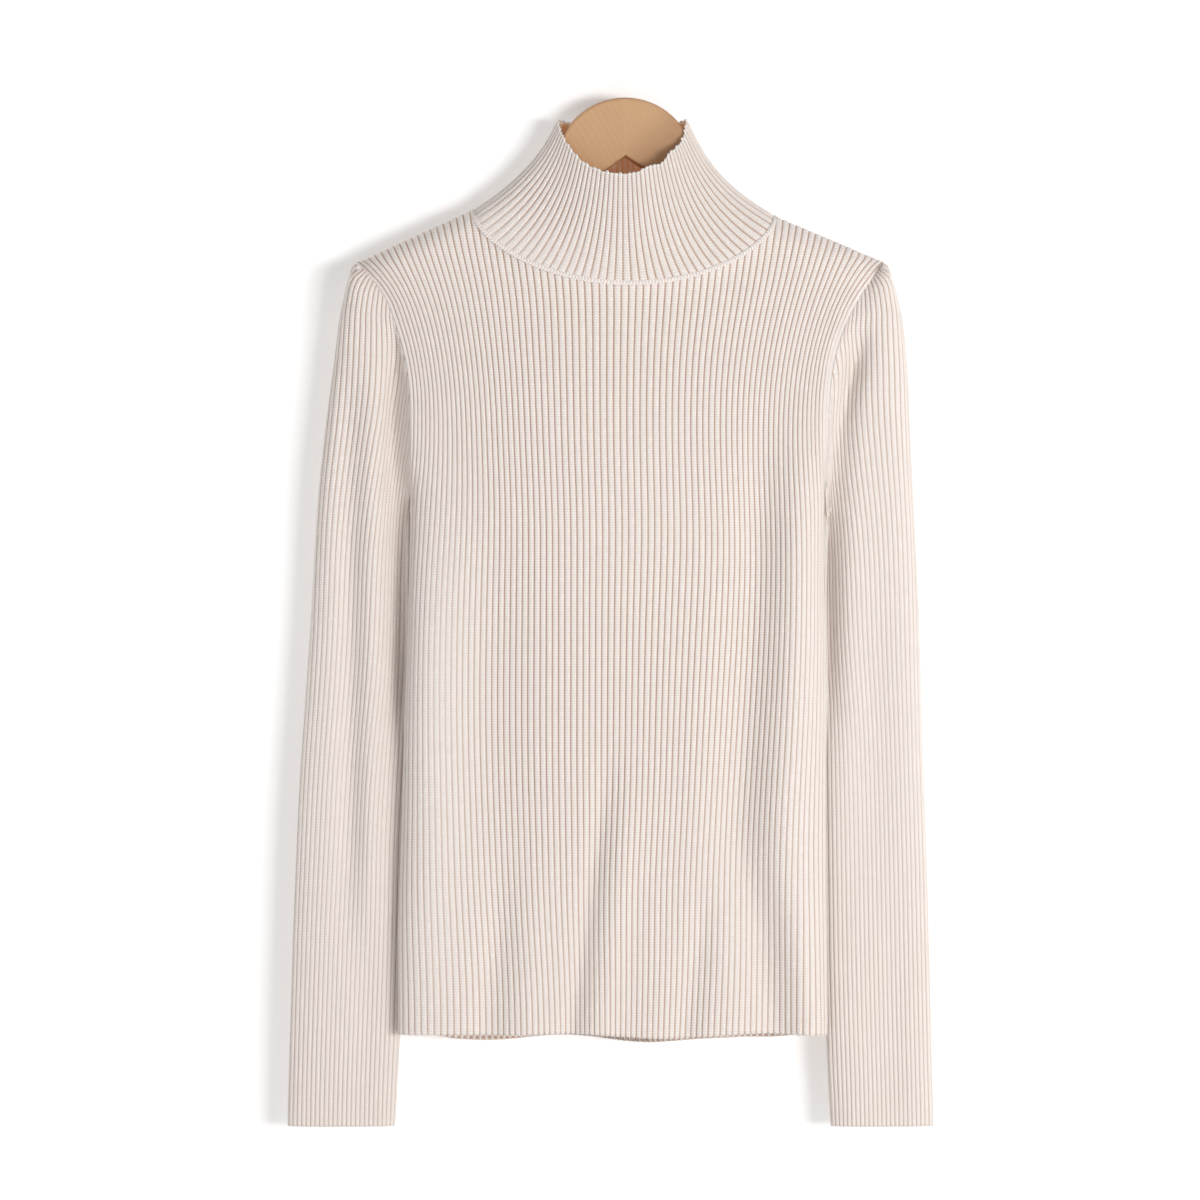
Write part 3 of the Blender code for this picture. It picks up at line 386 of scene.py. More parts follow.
def body_slice(z, shape, folds, side, shares):
    """Section of one body panel at height z, and the x at the given shares of its length round."""
    across = np.sin(np.linspace(-0.5, 0.5, 481) * np.pi)
    left = edge_x(LEFT_EDGE, z)
    right = edge_x(RIGHT_EDGE, z)
    x = 0.5 * (left + right) + 0.5 * (right - left) * across
    edge = armhole_half_depth(z)
    neck_bow = np.where((x > NECK_LEFT[0]) & (x < NECK_RIGHT[0]), np.sin(neck_angle(x)), 0.0)
    start = neck_stand(held(neck_bow), shape)
    below = held((top_edge_height(x, shape) - z) / SHOULDER_ROUNDING)
    fullness = smooth_at_height(BODY, z, 2 if side < 0 else 3)
    middle = smooth_at_height(BODY, z, 1) + fullness * (1.0 - across ** 2)
    middle = middle - fold_depth(folds, x, z)
    plain = middle
    middle = start + (middle - start) * np.sqrt(1.0 - (1.0 - below) ** 2)
    squared = np.sqrt(1.0 - np.abs(across) ** SIDE_SQUARENESS)
    y = edge + (middle - edge) * squared
    plain_y = edge + (plain - edge) * squared
    length = lengths_along(np.stack([x, plain_y], axis=-1))
    places = eased_places(shares, length[-1], z, edge)
    return x, side * y, np.interp(places, length, x)


def evened(x, heights):
    """The columns' x with their turns rounded off along the height.

    Above the top they run on as they came, mirrored through their ends.
    """
    mirrored = slice(40, 0, -1)
    above = 2.0 * x[0] - x[mirrored]
    z = np.concatenate([2.0 * heights[0] - heights[mirrored], heights])
    distance = (heights[:, None] - z[None, :]) / RIB_EVENING
    weight = np.exp(-(distance ** 2)) * np.abs(np.gradient(z))
    return weight @ np.concatenate([above, x]) / weight.sum(axis=1, keepdims=True)


def hem_height(x, side):
    """The hem waves a little, and hangs lower at the back, where it shows in two places."""
    wave = 1.1 * np.sin(x / 31.0 + 0.6) + 0.8 * np.sin(x / 17.0)
    inside = held((150.0 - np.abs(x + 9.0)) / 40.0)
    hem = BACK_HEM
    dips = np.cos((x + hem["phase"]) / hem["pitch"]) * held((hem["end"] - x) / hem["end_over"])
    drop = 0.0 if side < 0 else hem["drop"] + hem["dip"] * dips
    return HEM_Z - inside * (wave + drop)


def shift_share(z):
    """Ribs that are moved to meet a neck corner come back to their places lower down."""
    return soft((z - CORNER_MOVE["foot"]) / CORNER_MOVE["height"])


def column_tops(table, heights, shape, shifts):
    """Where each column, moved sideways by its shift, meets the panel's top edge: x, z."""
    tops = np.zeros((len(shifts), 2))
    for c, shift in enumerate(shifts):
        low, high = -300.0, -60.0
        for _ in range(30):
            z = 0.5 * (low + high)
            x = np.interp(-z, -heights, table[:, c, 0]) + shift * shift_share(z)
            if z < top_edge_height(x, shape):
                low = z
            else:
                high = z
        tops[c] = x, low
    tops[0] = SHOULDER_LEFT_X, SHOULDER_Z
    tops[-1] = SHOULDER_RIGHT_X, SHOULDER_Z
    return tops


def panel_points(shape, folds, side, columns, rows):
    """Valley surface of a body panel: rows from the top edge down, columns left to right."""
    heights = np.concatenate([np.arange(-60.0, -300.0, -2.0), np.arange(-300.0, -664.0, -5.0)])
    count = len(columns)
    table = np.zeros((len(heights), count, 2))
    sections = [
        body_slice(z, shape, folds, side, crowded_shares(columns, smooth_at_height(BODY, z, 4)))
        for z in heights]
    across = np.array([section[2] for section in sections])
    inner = held((np.minimum(columns, columns[-1] - columns) - 1.0) / 6.0)
    table[:, :, 0] = across + (evened(across, heights) - across) * inner
    for i, (x, y, _) in enumerate(sections):
        table[i, :, 1] = np.interp(table[i, :, 0], x, y)
    tops = column_tops(table, heights, shape, np.zeros(count))
    corners = [int(np.argmin(np.abs(tops[:, 0] - x))) for x, _ in (NECK_LEFT, NECK_RIGHT)]
    shifts = np.zeros(count)
    for corner, column in zip((NECK_LEFT, NECK_RIGHT), corners):
        spread = np.exp(-(((np.arange(count) - column) / CORNER_MOVE["spread"]) ** 2))
        shifts += (corner[0] - tops[column, 0]) * spread
    tops = column_tops(table, heights, shape, shifts)
    for corner, column in zip((NECK_LEFT, NECK_RIGHT), corners):
        tops[column] = corner
    points = np.zeros((len(rows), count, 3))
    hem_slice = np.argmin(np.abs(heights - HEM_Z))
    inside = held(np.minimum(np.arange(count), np.arange(count)[::-1]) / 40.0)
    for c in range(count):
        foot = hem_height(table[hem_slice, c, 0], side)
        z = tops[c, 1] + (foot - tops[c, 1]) * rows
        x = np.interp(-z, -heights, table[:, c, 0]) + shifts[c] * shift_share(z)
        wander = sway(x, z) * inside[c] * held((tops[c, 1] - z) / 60.0)
        y = np.interp(-z, -heights, table[:, c, 1])
        points[:, c] = np.stack([x + wander, y, z], axis=-1)
    points[0, :, 0] = tops[:, 0]
    seam = neck_point(neck_angle(tops[:, 0]), shape, side)
    neck = slice(corners[0], corners[1] + 1)
    points[0, :, 1] = 0.0
    points[0, neck] = seam[neck]
    return points, corners


def armhole_lines(front, back, column):
    """The armhole seam down the front panel's edge, and down the back panel's, to the underarm."""
    edge = LEFT_EDGE if column == 0 else RIGHT_EDGE
    foot = np.array([[edge_x(edge, UNDERARM_Z), 0.0, UNDERARM_Z]])
    lines = []
    for points in (front, back):
        line = points[points[:, column, 2] > UNDERARM_Z, column]
        lines.append(np.concatenate([line, foot]))
    return lines


def sleeve_slice(table, body_edge, folds, z):
    """Section of a sleeve at height z: from the seam's front, round the outside, to its back.

    Gives x, y and the length from the outermost point.
    """
    across = 0.5 - 0.5 * np.cos(np.linspace(0.0, np.pi, 361))
    settled = soft((UNDERARM_Z - z) / UNDERARM_BLEND)
    outer = smooth_at_height(table, z, 1) if z < DRAWN_ABOVE else at_height(table, z, 1)
    inner = edge_x(body_edge, z) * (1.0 - settled) + smooth_at_height(table, z, 2) * settled
    rounding = (1.0 - np.abs(2.0 * across - 1.0) ** SLEEVE_SQUARENESS[0]) ** SLEEVE_SQUARENESS[1]
    open_side = armhole_half_depth(z)
    slow_share = np.where(across < 0.5, open_side / ARMHOLE_HALF_DEPTH, 0.0)
    rounding = rounding * (1.0 - slow_share) + soft(2.0 * across) * slow_share
    seam_depth = np.where(across < 0.5, open_side, 0.0)
    depth = seam_depth + (smooth_at_height(table, z, 3) - seam_depth) * rounding
    sewn = np.where(across < 0.5, (1.0 - rounding) * (1.0 - settled), 0.0)
    middle = smooth_at_height(table, z, 4) * (1.0 - sewn)
    x = inner + (outer - inner) * across
    free = soft(np.minimum(across / 0.05, (1.0 - across) / 0.12))
    front = middle - depth + fold_depth(folds[0], x, z) * free
    back = middle + depth - fold_depth(folds[1], x, z) * free
    x = np.concatenate([x, x[-2::-1]])
    y = np.concatenate([front, back[-2::-1]])
    length = lengths_along(np.stack([x, y], axis=-1))
    return x, y, length - length[len(across) - 1]


def head_ribs(z):
    """Ribs of a sleeve that have left the armhole by height z, on each side of its top."""
    shifts = np.linspace(-7.0, 7.0, 8)
    smooth = np.mean([at_height(SLEEVE_HEAD, z + s, 1) for s in shifts], axis=0)
    near_end = held(np.minimum(SHOULDER_Z - z, z - UNDERARM_Z) / 14.0)
    return smooth * near_end + at_height(SLEEVE_HEAD, z, 1) * (1.0 - near_end)


def sleeve_points(loop, table, body_edge, folds, columns, rows):
    """Valley surface of a sleeve. Columns start at the underarm and go up the front."""
    half_ribs = 0.5 * SLEEVE_RIBS
    from_top = columns - half_ribs
    scale = np.linspace(SHOULDER_Z, UNDERARM_Z, 400)
    start = np.interp(np.abs(from_top), head_ribs(scale), scale)
    seam = np.zeros((len(columns), 3))
    for ahead, line in ((True, loop[0]), (False, loop[1])):
        picked = from_top <= 0.0 if ahead else from_top > 0.0
        for k in range(2):
            seam[picked, k] = np.interp(-start[picked], -line[:, 2], line[:, k])
    seam[:, 2] = start
    heights = np.concatenate([np.arange(-114.0, -300.0, -2.0), np.arange(-300.0, -720.0, -6.0)])
    sections = [sleeve_slice(table, body_edge, folds, z) for z in heights]
    free = np.array([max(head_ribs(z), 0.01) for z in heights])
    even = SLEEVE_PITCH
    near = np.exp(-(((heights[:, None] - heights[None, :]) / even["reach"]) ** 2))
    near = near * (heights[None, :] < DRAWN_ABOVE) + 1e-9
    settled = held((even["start"] - heights) / even["start_over"])
    tube = np.zeros((len(heights), len(columns), 2))
    for end, half in ((0, from_top <= 0.0), (-1, from_top > 0.0)):
        reach = np.array([section[2][end] for section in sections])
        pitch = (near * (reach / free)).sum(axis=1) / near.sum(axis=1) * settled
        pitch = pitch + reach / free * (1.0 - settled)
        for i, (x, y, length) in enumerate(sections):
            out = held(np.abs(from_top[half]) / free[i])
            slack = reach[i] - pitch[i] * free[i]
            places = pitch[i] * free[i] * out + slack * out ** even["outerness"]
            tube[i, half, 0] = np.interp(places, length, x)
            tube[i, half, 1] = np.interp(places, length, y)
    to_fold = np.minimum(np.abs(from_top), half_ribs - np.abs(from_top))
    low = held((SLEEVE_EVENING["top"] - heights[:, None]) / SLEEVE_EVENING["over"])
    inner = held((to_fold - 1.0) / 4.0) * low
    for axis in range(2):
        tube[:, :, axis] += (evened(tube[:, :, axis], heights) - tube[:, :, axis]) * inner
    points = np.zeros((len(rows), len(columns), 3))
    for c in range(len(columns)):
        z = seam[c, 2] + (CUFF_Z - seam[c, 2]) * rows
        x = np.interp(-z, -heights, tube[:, c, 0])
        y = np.interp(-z, -heights, tube[:, c, 1])
        fade = held(1.0 - (seam[c, 2] - z) / UNDERARM_BLEND) ** 2
        points[:, c, 0] = x + (seam[c, 0] - x[0]) * fade
        points[:, c, 1] = y + (seam[c, 1] - y[0]) * fade
        points[:, c, 2] = z
    return points


def collar_half(seam, side, columns, stand, dip):
    """Front or back half of the collar from left to right, its foot on the panel's neck edge."""
    lengths = lengths_along(seam)
    shares = columns / columns[-1]
    foot = np.stack([
        np.interp(shares * lengths[-1], lengths, seam[:, k]) for k in range(3)], axis=-1)
    turn = shares * np.pi
    top = np.stack([
        COLLAR_TOP_CENTRE_X - COLLAR_TOP_HALF_WIDTH * np.cos(turn),
        side * stand * np.sin(turn),
        COLLAR_TOP_Z - dip * np.sin(turn) ** 1.15], axis=-1)
    t = COLLAR_ROWS[:, None]
    to_right = 0.5 - 0.5 * np.cos(turn)
    power = COLLAR_FLARE["left"] + (COLLAR_FLARE["right"] - COLLAR_FLARE["left"]) * to_right
    flare = COLLAR_FLARE["straight"] * t + (1.0 - COLLAR_FLARE["straight"]) * t ** power
    points = np.zeros((len(COLLAR_ROWS), len(columns), 3))
    for axis, share in ((0, flare), (1, flare), (2, t)):
        points[:, :, axis] = top[:, axis] + (foot[:, axis] - top[:, axis]) * share
    if side < 0:
        slump = np.interp(top[:, 0], COLLAR_RIM[:, 0], COLLAR_RIM[:, 1])
        points[:, :, 2] += slump * held(1.0 - t / 0.3) ** 2
    return points


def outward_normals(points, wrap, outward):
    """Unit normals of a grid of points, on the side that outward gives."""
    if wrap:
        padded = np.concatenate([points[:, -2:-1], points, points[:, 1:2]], axis=1)
        across = padded[:, 2:] - padded[:, :-2]
    else:
        across = np.gradient(points, axis=1)
    normals = unit(np.cross(across, np.gradient(points, axis=0)))
    return normals * np.sign(np.sum(normals * outward, axis=-1).mean())


def tube_normals(points):
    """Normals of a closed tube, away from its middle line."""
    middle = points.mean(axis=1, keepdims=True)
    return outward_normals(points, True, (points - middle) * np.array([1.0, 1.0, 0.0]))


def new_object(name, shape, look):
    """Turns a bmesh into an object of the scene."""
    mesh = bpy.data.meshes.new(name)
    shape.to_mesh(mesh)
    shape.free()
    mesh.materials.append(look)
    made = bpy.data.objects.new(name, mesh)
    bpy.context.scene.collection.objects.link(made)
    return made


def knit_grid(name, points, normals, u, v, ribbed, look, wrap):
    """A piece of knit on a grid of points.

    Its UV map counts ribs across and courses down, and its attribute "ribbed" is 0 on plain knit.
    """
    rows, columns = points.shape[:2]
    shape = bmesh.new()
    bmesh.ops.create_grid(shape, x_segments=columns - 1, y_segments=rows - 1, size=1.0)
    piece = new_object(name, shape, look)
    mesh = piece.data
    mesh.vertices.foreach_set("co", (points * MM).astype(np.float32).ravel())
    corner = np.zeros(len(mesh.loops), dtype=np.int32)
    mesh.loops.foreach_get("vertex_index", corner)
    layer = mesh.uv_layers.new(name="knit")
    flat = np.stack([np.broadcast_to(u, (rows, columns)), v], axis=-1).reshape(-1, 2)
    layer.data.foreach_set("uv", flat[corner].astype(np.float32).ravel())
    made = mesh.attributes.new("ribbed", "FLOAT", "POINT")
    made.data.foreach_set("value", ribbed.astype(np.float32).ravel())
    shape = bmesh.new()
    shape.from_mesh(mesh)
    shape.faces.ensure_lookup_table()
    shape.normal_update()
    middle = (rows - 1) // 2 * (columns - 1) + columns // 3
    outward = normals[(rows - 1) // 2, columns // 3]
    if shape.faces[middle].normal.dot(Vector(outward)) < 0.0:
        bmesh.ops.reverse_faces(shape, faces=shape.faces)
    if wrap:
        bmesh.ops.remove_doubles(shape, verts=shape.verts, dist=1e-6)
    shape.to_mesh(mesh)
    shape.free()
    for polygon in mesh.polygons:
        polygon.use_smooth = True
    return piece


def course_count(points):
    """Courses from the top of each column down to each point."""
    steps = np.linalg.norm(np.diff(points, axis=0), axis=-1)
    return np.concatenate([np.zeros((1, points.shape[1])), np.cumsum(steps, axis=0)]) / COURSE


def add_thickness(piece):
    """The cloth's own thickness, inward from its outer face."""
    wall = piece.modifiers.new("cloth thickness", "SOLIDIFY")
    wall.thickness = CLOTH * MM
    wall.offset = -1.0
    wall.use_rim = True


def rise_field(columns, rows):
    """Rib height over a grid, with each rib a little uneven."""
    rib = np.floor(columns)
    uneven = 1.0 + 0.07 * np.sin(rib * 2.4) + 0.05 * np.sin(rib * 5.3 + 1.0)
    return np.tile(rib_profile(columns) * uneven * RIB_RISE, (rows, 1))


def relief(x, z, spots):
    """How far the ribs stand out: 1 where they are closed up, less where the knit is stretched."""
    left = np.ones(np.broadcast(x, z).shape)
    for x_middle, z_middle, half_width, half_height, loss in spots:
        near = np.exp(-(((x - x_middle) / half_width) ** 2) - ((z - z_middle) / half_height) ** 2)
        left = left * (1.0 - loss * near)
    return left


def near_row(rows, length, reach, from_top):
    """1 at one end of the rows, 0 further than reach from it."""
    distance = rows * length if from_top else (1.0 - rows) * length
    return held(1.0 - distance / reach)[:, None]


def linear(code):
    """sRGB hex to the linear values that a shader takes."""
    values = [int(code[i:i + 2], 16) / 255 for i in (1, 3, 5)]
    return [v / 12.92 if v <= 0.04045 else ((v + 0.055) / 1.055) ** 2.4 for v in values] + [1.0]


def add_node(tree, kind, links=(), **values):
    """A node with its properties and input values set, and links made from (socket, input)."""
    made = tree.nodes.new(kind)
    for key, value in values.items():
        if key.startswith("in_"):
            made.inputs[int(key[3:])].default_value = value
        else:
            setattr(made, key, value)
    for source, target in links:
        tree.links.new(source, made.inputs[target])
    return made


def maths(tree, operation, first, second=None, third=None):
    """Result of a maths node on sockets or numbers."""
    made = tree.nodes.new("ShaderNodeMath")
    made.operation = operation
    for slot, value in enumerate((first, second, third)):
        if value is None:
            continue
        if isinstance(value, (int, float)):
            made.inputs[slot].default_value = value
        else:
            tree.links.new(value, made.inputs[slot])
    return made.outputs[0]


def ramp(tree, value, low, high):
    """0 below low, 1 above high, eased between."""
    made = add_node(tree, "ShaderNodeMapRange", [(value, 0)], interpolation_type="SMOOTHSTEP",
                    in_1=low, in_2=high)
    return made.outputs[0]


def mix_colour(tree, factor, first, second):
    """Mix of two colours, each a socket or a hex code."""
    made = tree.nodes.new("ShaderNodeMix")
    made.data_type = "RGBA"
    for slot, value in ((0, factor), (6, first), (7, second)):
        if isinstance(value, str):
            made.inputs[slot].default_value = linear(value)
        elif isinstance(value, (int, float)):
            made.inputs[slot].default_value = value
        else:
            tree.links.new(value, made.inputs[slot])
    return made.outputs[2]


def from_half(tree, value):
    """Distance of a value's fraction from one half."""
    return maths(tree, "ABSOLUTE", maths(tree, "SUBTRACT", maths(tree, "FRACT", value), 0.5))


def times(tree, first, second):
    """Product of two sockets or numbers."""
    return maths(tree, "MULTIPLY", first, second)


def plus(tree, first, second):
    """Sum of two sockets or numbers."""
    return maths(tree, "ADD", first, second)


def coordinates(tree, source):
    """The three numbers of a coordinate."""
    return add_node(tree, "ShaderNodeSeparateXYZ", [(source, 0)]).outputs


def knit_coordinates(tree):
    """Ribs across and courses down, from the piece's UV map."""
    return coordinates(tree, add_node(tree, "ShaderNodeUVMap", uv_map="knit").outputs[0])[:2]


def finish_look(tree, shader, colour, height, strength, distance):
    """The material's colour, and its fine relief from a height."""
    tree.links.new(colour, shader.inputs["Base Color"])
    bump = add_node(tree, "ShaderNodeBump", [(height, 3)], in_0=strength, in_1=distance)
    tree.links.new(bump.outputs[0], shader.inputs["Normal"])


def new_material(name, roughness):
    """A material with its tree and its shader."""
    made = bpy.data.materials.new(name)
    made.use_nodes = True
    shader = made.node_tree.nodes["Principled BSDF"]
    shader.inputs["Roughness"].default_value = roughness
    return made, made.node_tree, shader


def rib_knit(name, painted_glow):
    """Cream cotton rib: V stitches on the crests with painted shade between their loops, and painted
    warm beaded shade deep in the valleys.

    Inside the neck the colour is painted a darker warm brown and given a faint warm glow: painted
    shade and painted light for the light that reaches the inside of the neck.
    """
    made, tree, shader = new_material(name, 0.92)
    shader.inputs["Sheen Weight"].default_value = 0.18
    shader.inputs["Sheen Roughness"].default_value = 0.6
    ribbed = add_node(tree, "ShaderNodeAttribute", attribute_name="ribbed").outputs["Fac"]
    place = add_node(tree, "ShaderNodeTexCoord").outputs["Object"]
    u, v = knit_coordinates(tree)
    off_crest = times(tree, from_half(tree, u), 2.0)
    leg = from_half(tree, plus(tree, v, times(tree, off_crest, 0.55)))
    loop = ramp(tree, leg, 0.5, 0.12)
    centre = ramp(tree, off_crest, 0.0, 0.22)
    bead = from_half(tree, v)
    fibre = add_node(tree, "ShaderNodeTexNoise", [(place, 0)],
                     in_2=2600.0, in_3=3.0, in_4=0.65).outputs[0]
    patch = add_node(tree, "ShaderNodeTexNoise", [(place, 0)],
                     in_2=160.0, in_3=2.0, in_4=0.5).outputs[0]
    # Painted shade: warm brown deep in the rib valleys, beaded along the courses, less where the
    # knit is stretched.
    beaded = plus(tree, off_crest, times(tree, bead, 0.36))
    valley = times(tree, ramp(tree, beaded, 0.74, 1.1), ribbed)
    crest = mix_colour(tree, patch, "#EFE7E2", "#E7DED8")
    crest = mix_colour(tree, times(tree, fibre, 0.4), crest, "#FAF5F2")
    # Painted shade: a darker colour in the low gaps between the stitch loops.
    loop_gap_shade = times(tree, maths(tree, "SUBTRACT", 1.0, loop), 0.42)
    crest = mix_colour(tree, loop_gap_shade, crest, "#D6C3B5")
    colour = mix_colour(tree, times(tree, valley, 0.96), crest, "#BA9274")
    rim = ramp(tree, v, 0.9, 0.35)
    colour = mix_colour(tree, rim, colour, "#F4EEE9")
    # Painted shade and painted light inside the neck: a darker warm brown, and a warm glow that is
    # no lamp.
    if painted_glow:
        colour = mix_colour(tree, 0.45, colour, "#B58763")
        tree.links.new(mix_colour(tree, 0.7, colour, "#C98655"), shader.inputs["Emission Color"])
        shader.inputs["Emission Strength"].default_value = painted_glow
    height = plus(tree, times(tree, loop, 0.75), times(tree, centre, 0.25))
    height = plus(tree, height, times(tree, fibre, 0.6))
    finish_look(tree, shader, colour, height, 0.7, 0.00035)
    return made


def linking_yarn():
    """The linked neck seam: one chain of small pale loops."""
    made, tree, shader = new_material("cream_linking_yarn", 0.9)
    u, v = knit_coordinates(tree)
    leg = from_half(tree, plus(tree, u, times(tree, maths(tree, "ABSOLUTE", v), 0.6)))
    loop = ramp(tree, leg, 0.5, 0.15)
    # Painted shade: a darker colour between the loops, where the bump height is low.
    colour = mix_colour(tree, loop, "#D6C6BB", "#F3ECE8")
    finish_look(tree, shader, colour, loop, 0.6, 0.0003)
    return made


def beech(name, grain_turn, ring_place):
    """Pale satin beech with fine grain, and painted shade: a darker rounded edge, a darker lower
    right, and reddish shade by the notch.
    """
    made, tree, shader = new_material(name, 0.5)
    place = add_node(tree, "ShaderNodeTexCoord").outputs["Object"]
    x, _, z = coordinates(tree, place)
    turned = add_node(tree, "ShaderNodeMapping", [(place, 0)])
    turned.inputs["Location"].default_value = ring_place
    turned.inputs["Rotation"].default_value = (0.0, grain_turn, 0.0)
    turned.inputs["Scale"].default_value = (1.0, 1.0, 0.22)
    along = [(turned.outputs[0], 0)]
    bend = add_node(tree, "ShaderNodeTexNoise", along, in_2=60.0, in_3=2.0).outputs[0]
    grain = add_node(tree, "ShaderNodeTexWave", along, wave_type="RINGS", rings_direction="Y",
                     in_1=190.0, in_2=2.5, in_3=3.0, in_4=1.6).outputs[1]
    fine = add_node(tree, "ShaderNodeTexNoise", along, in_2=900.0, in_3=3.0).outputs[0]
    colour = mix_colour(tree, times(tree, grain, 0.22), "#CDA67D", "#BE9268")
    colour = mix_colour(tree, times(tree, bend, 0.3), colour, "#BC885E")
    colour = mix_colour(tree, times(tree, fine, 0.24), colour, "#A97B52")
    # Painted shade: the head darkens toward its lower right.
    aslant = maths(tree, "SUBTRACT", times(tree, x, 0.75), times(tree, z, 0.65))
    painted_shade_lower_right = times(tree, ramp(tree, aslant, 0.017, 0.042), 0.38)
    colour = mix_colour(tree, painted_shade_lower_right, colour, "#8A6140")
    # Painted shade along the dome's rounded edge, and reddish painted shade along the notch's lower
    # edge.
    from_middle = add_node(tree, "ShaderNodeVectorMath", [(place, 0)], operation="DISTANCE",
                           in_1=(0.0, 0.0, -HEAD_RADIUS * MM)).outputs["Value"]
    in_dome = ramp(tree, z, -0.034, -0.03)
    edge = times(tree, ramp(tree, from_middle, 0.0472, 0.0482), in_dome)
    over_notch = plus(tree, times(tree, x, 0.545), times(
        tree, maths(tree, "SUBTRACT", z, NOTCH_Z * MM), 0.838))
    notch_shade = times(tree, ramp(tree, over_notch, 0.0016, 0.001), ramp(tree, x, 0.0001, 0.0004))
    shade = maths(tree, "MAXIMUM", times(tree, edge, 0.75), times(tree, notch_shade, 0.8))
    colour = mix_colour(tree, shade, colour, "#9A5E34")
    finish_look(tree, shader, colour, fine, 0.15, 0.0002)
    return made


def wood_glue():
    """The thin glue line between the hanger's halves, a little greyer than the beech."""
    made, _, shader = new_material("glue_line", 0.6)
    shader.inputs["Base Color"].default_value = linear("#C8A27C")
    return made


def white_stage(name, glow):
    """Matt white studio paper, with a little glow that keeps it white in the picture."""
    made, tree, shader = new_material(name, 0.9)
    shader.inputs["Base Color"].default_value = linear("#FBFBFB")
    shader.inputs["Emission Color"].default_value = (1.0, 1.0, 1.0, 1.0)
    shader.inputs["Emission Strength"].default_value = glow
    return made, tree, shader


def finish_piece(piece, nodes):
    """A piece of cloth rides on the body, in place of its solids."""
    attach(piece, "root")
    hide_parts(*nodes)


def panel(name, node, shape, folds, side, stretch, look):
    """A body panel: ribs from the shoulder and neck seams to the hem.

    The right armhole's lower part has a plain column beside it, and the seams are creases.
    """
    columns = rib_columns(PANEL_RIBS)
    points, corners = panel_points(shape, folds, side, columns, PANEL_ROWS)
    normals = outward_normals(points, False, np.array([0.0, side, 0.0]))
    rows = len(PANEL_ROWS)
    from_side = np.minimum(columns, columns[-1] - columns)[None, :]
    z = points[:, :, 2]
    column = PLAIN_COLUMN
    beside = held((column["top"] - z) / column["over"]) * held((z - column["foot"]) / column["over"])
    to_right = (columns[-1] - columns)[None, :]
    plain = beside * held(1.0 - (to_right - column["start"]) / column["ribs"])
    ribbed = (1.0 - plain) * relief(points[:, :, 0], z, stretch)
    top = near_row(PANEL_ROWS, PANEL_LENGTH, 3.0, True)
    side_seam = held(1.0 - from_side / 0.6) * held((UNDERARM_Z - z) / 10.0)
    crease = np.maximum(0.5 * top, side_seam)
    raised = (1.0 - plain) * (RELIEF_KEPT + (1.0 - RELIEF_KEPT) * ribbed)
    rise = rise_field(columns, rows) * raised * (1.0 - 0.7 * crease) - 0.7 * crease ** 2
    rim = near_row(PANEL_ROWS, PANEL_LENGTH, 6.0, False)
    rise = rise * (1.0 - 0.25 * rim)
    placed = points + rise[:, :, None] * normals
    placed[-1, :, 2] -= 0.7 * rib_profile(columns)
    courses = -points[:, :, 2] / COURSE
    piece = knit_grid(name, placed, normals, columns, courses, ribbed, look, False)
    add_thickness(piece)
    finish_piece(piece, [node])
    return piece, points, corners


def sleeve(name, node, loop, table, body_edge, folds, stretch, look):
    """A sleeve: ribs from the armhole seam to the cuff."""
    columns = rib_columns(SLEEVE_RIBS)
    points = sleeve_points(loop, table, body_edge, folds, columns, SLEEVE_ROWS)
    normals = tube_normals(points)
    top = near_row(SLEEVE_ROWS, SLEEVE_LENGTH, 2.0, True)
    from_underarm = np.minimum(columns, columns[-1] - columns)[None, :]
    plain = near_row(SLEEVE_ROWS, SLEEVE_LENGTH, 30.0, True) * held(1.0 - from_underarm / 8.0)
    full = 1.0 - np.sqrt(plain)
    ribbed = full * relief(points[:, :, 0], points[:, :, 2], stretch)
    raised = full * (RELIEF_KEPT + (1.0 - RELIEF_KEPT) * ribbed)
    rise = rise_field(columns, len(SLEEVE_ROWS)) * raised * (1.0 - 0.7 * top)
    rim = near_row(SLEEVE_ROWS, SLEEVE_LENGTH, 6.0, False)
    rise = rise * (1.0 - 0.25 * rim)
    placed = points + rise[:, :, None] * normals
    placed[-1, :, 2] -= 0.5 * rib_profile(columns)
    courses = -points[:, :, 2] / COURSE
    piece = knit_grid(name, placed, normals, columns, courses, ribbed, look, True)
    add_thickness(piece)
    finish_piece(piece, [node])
    return piece


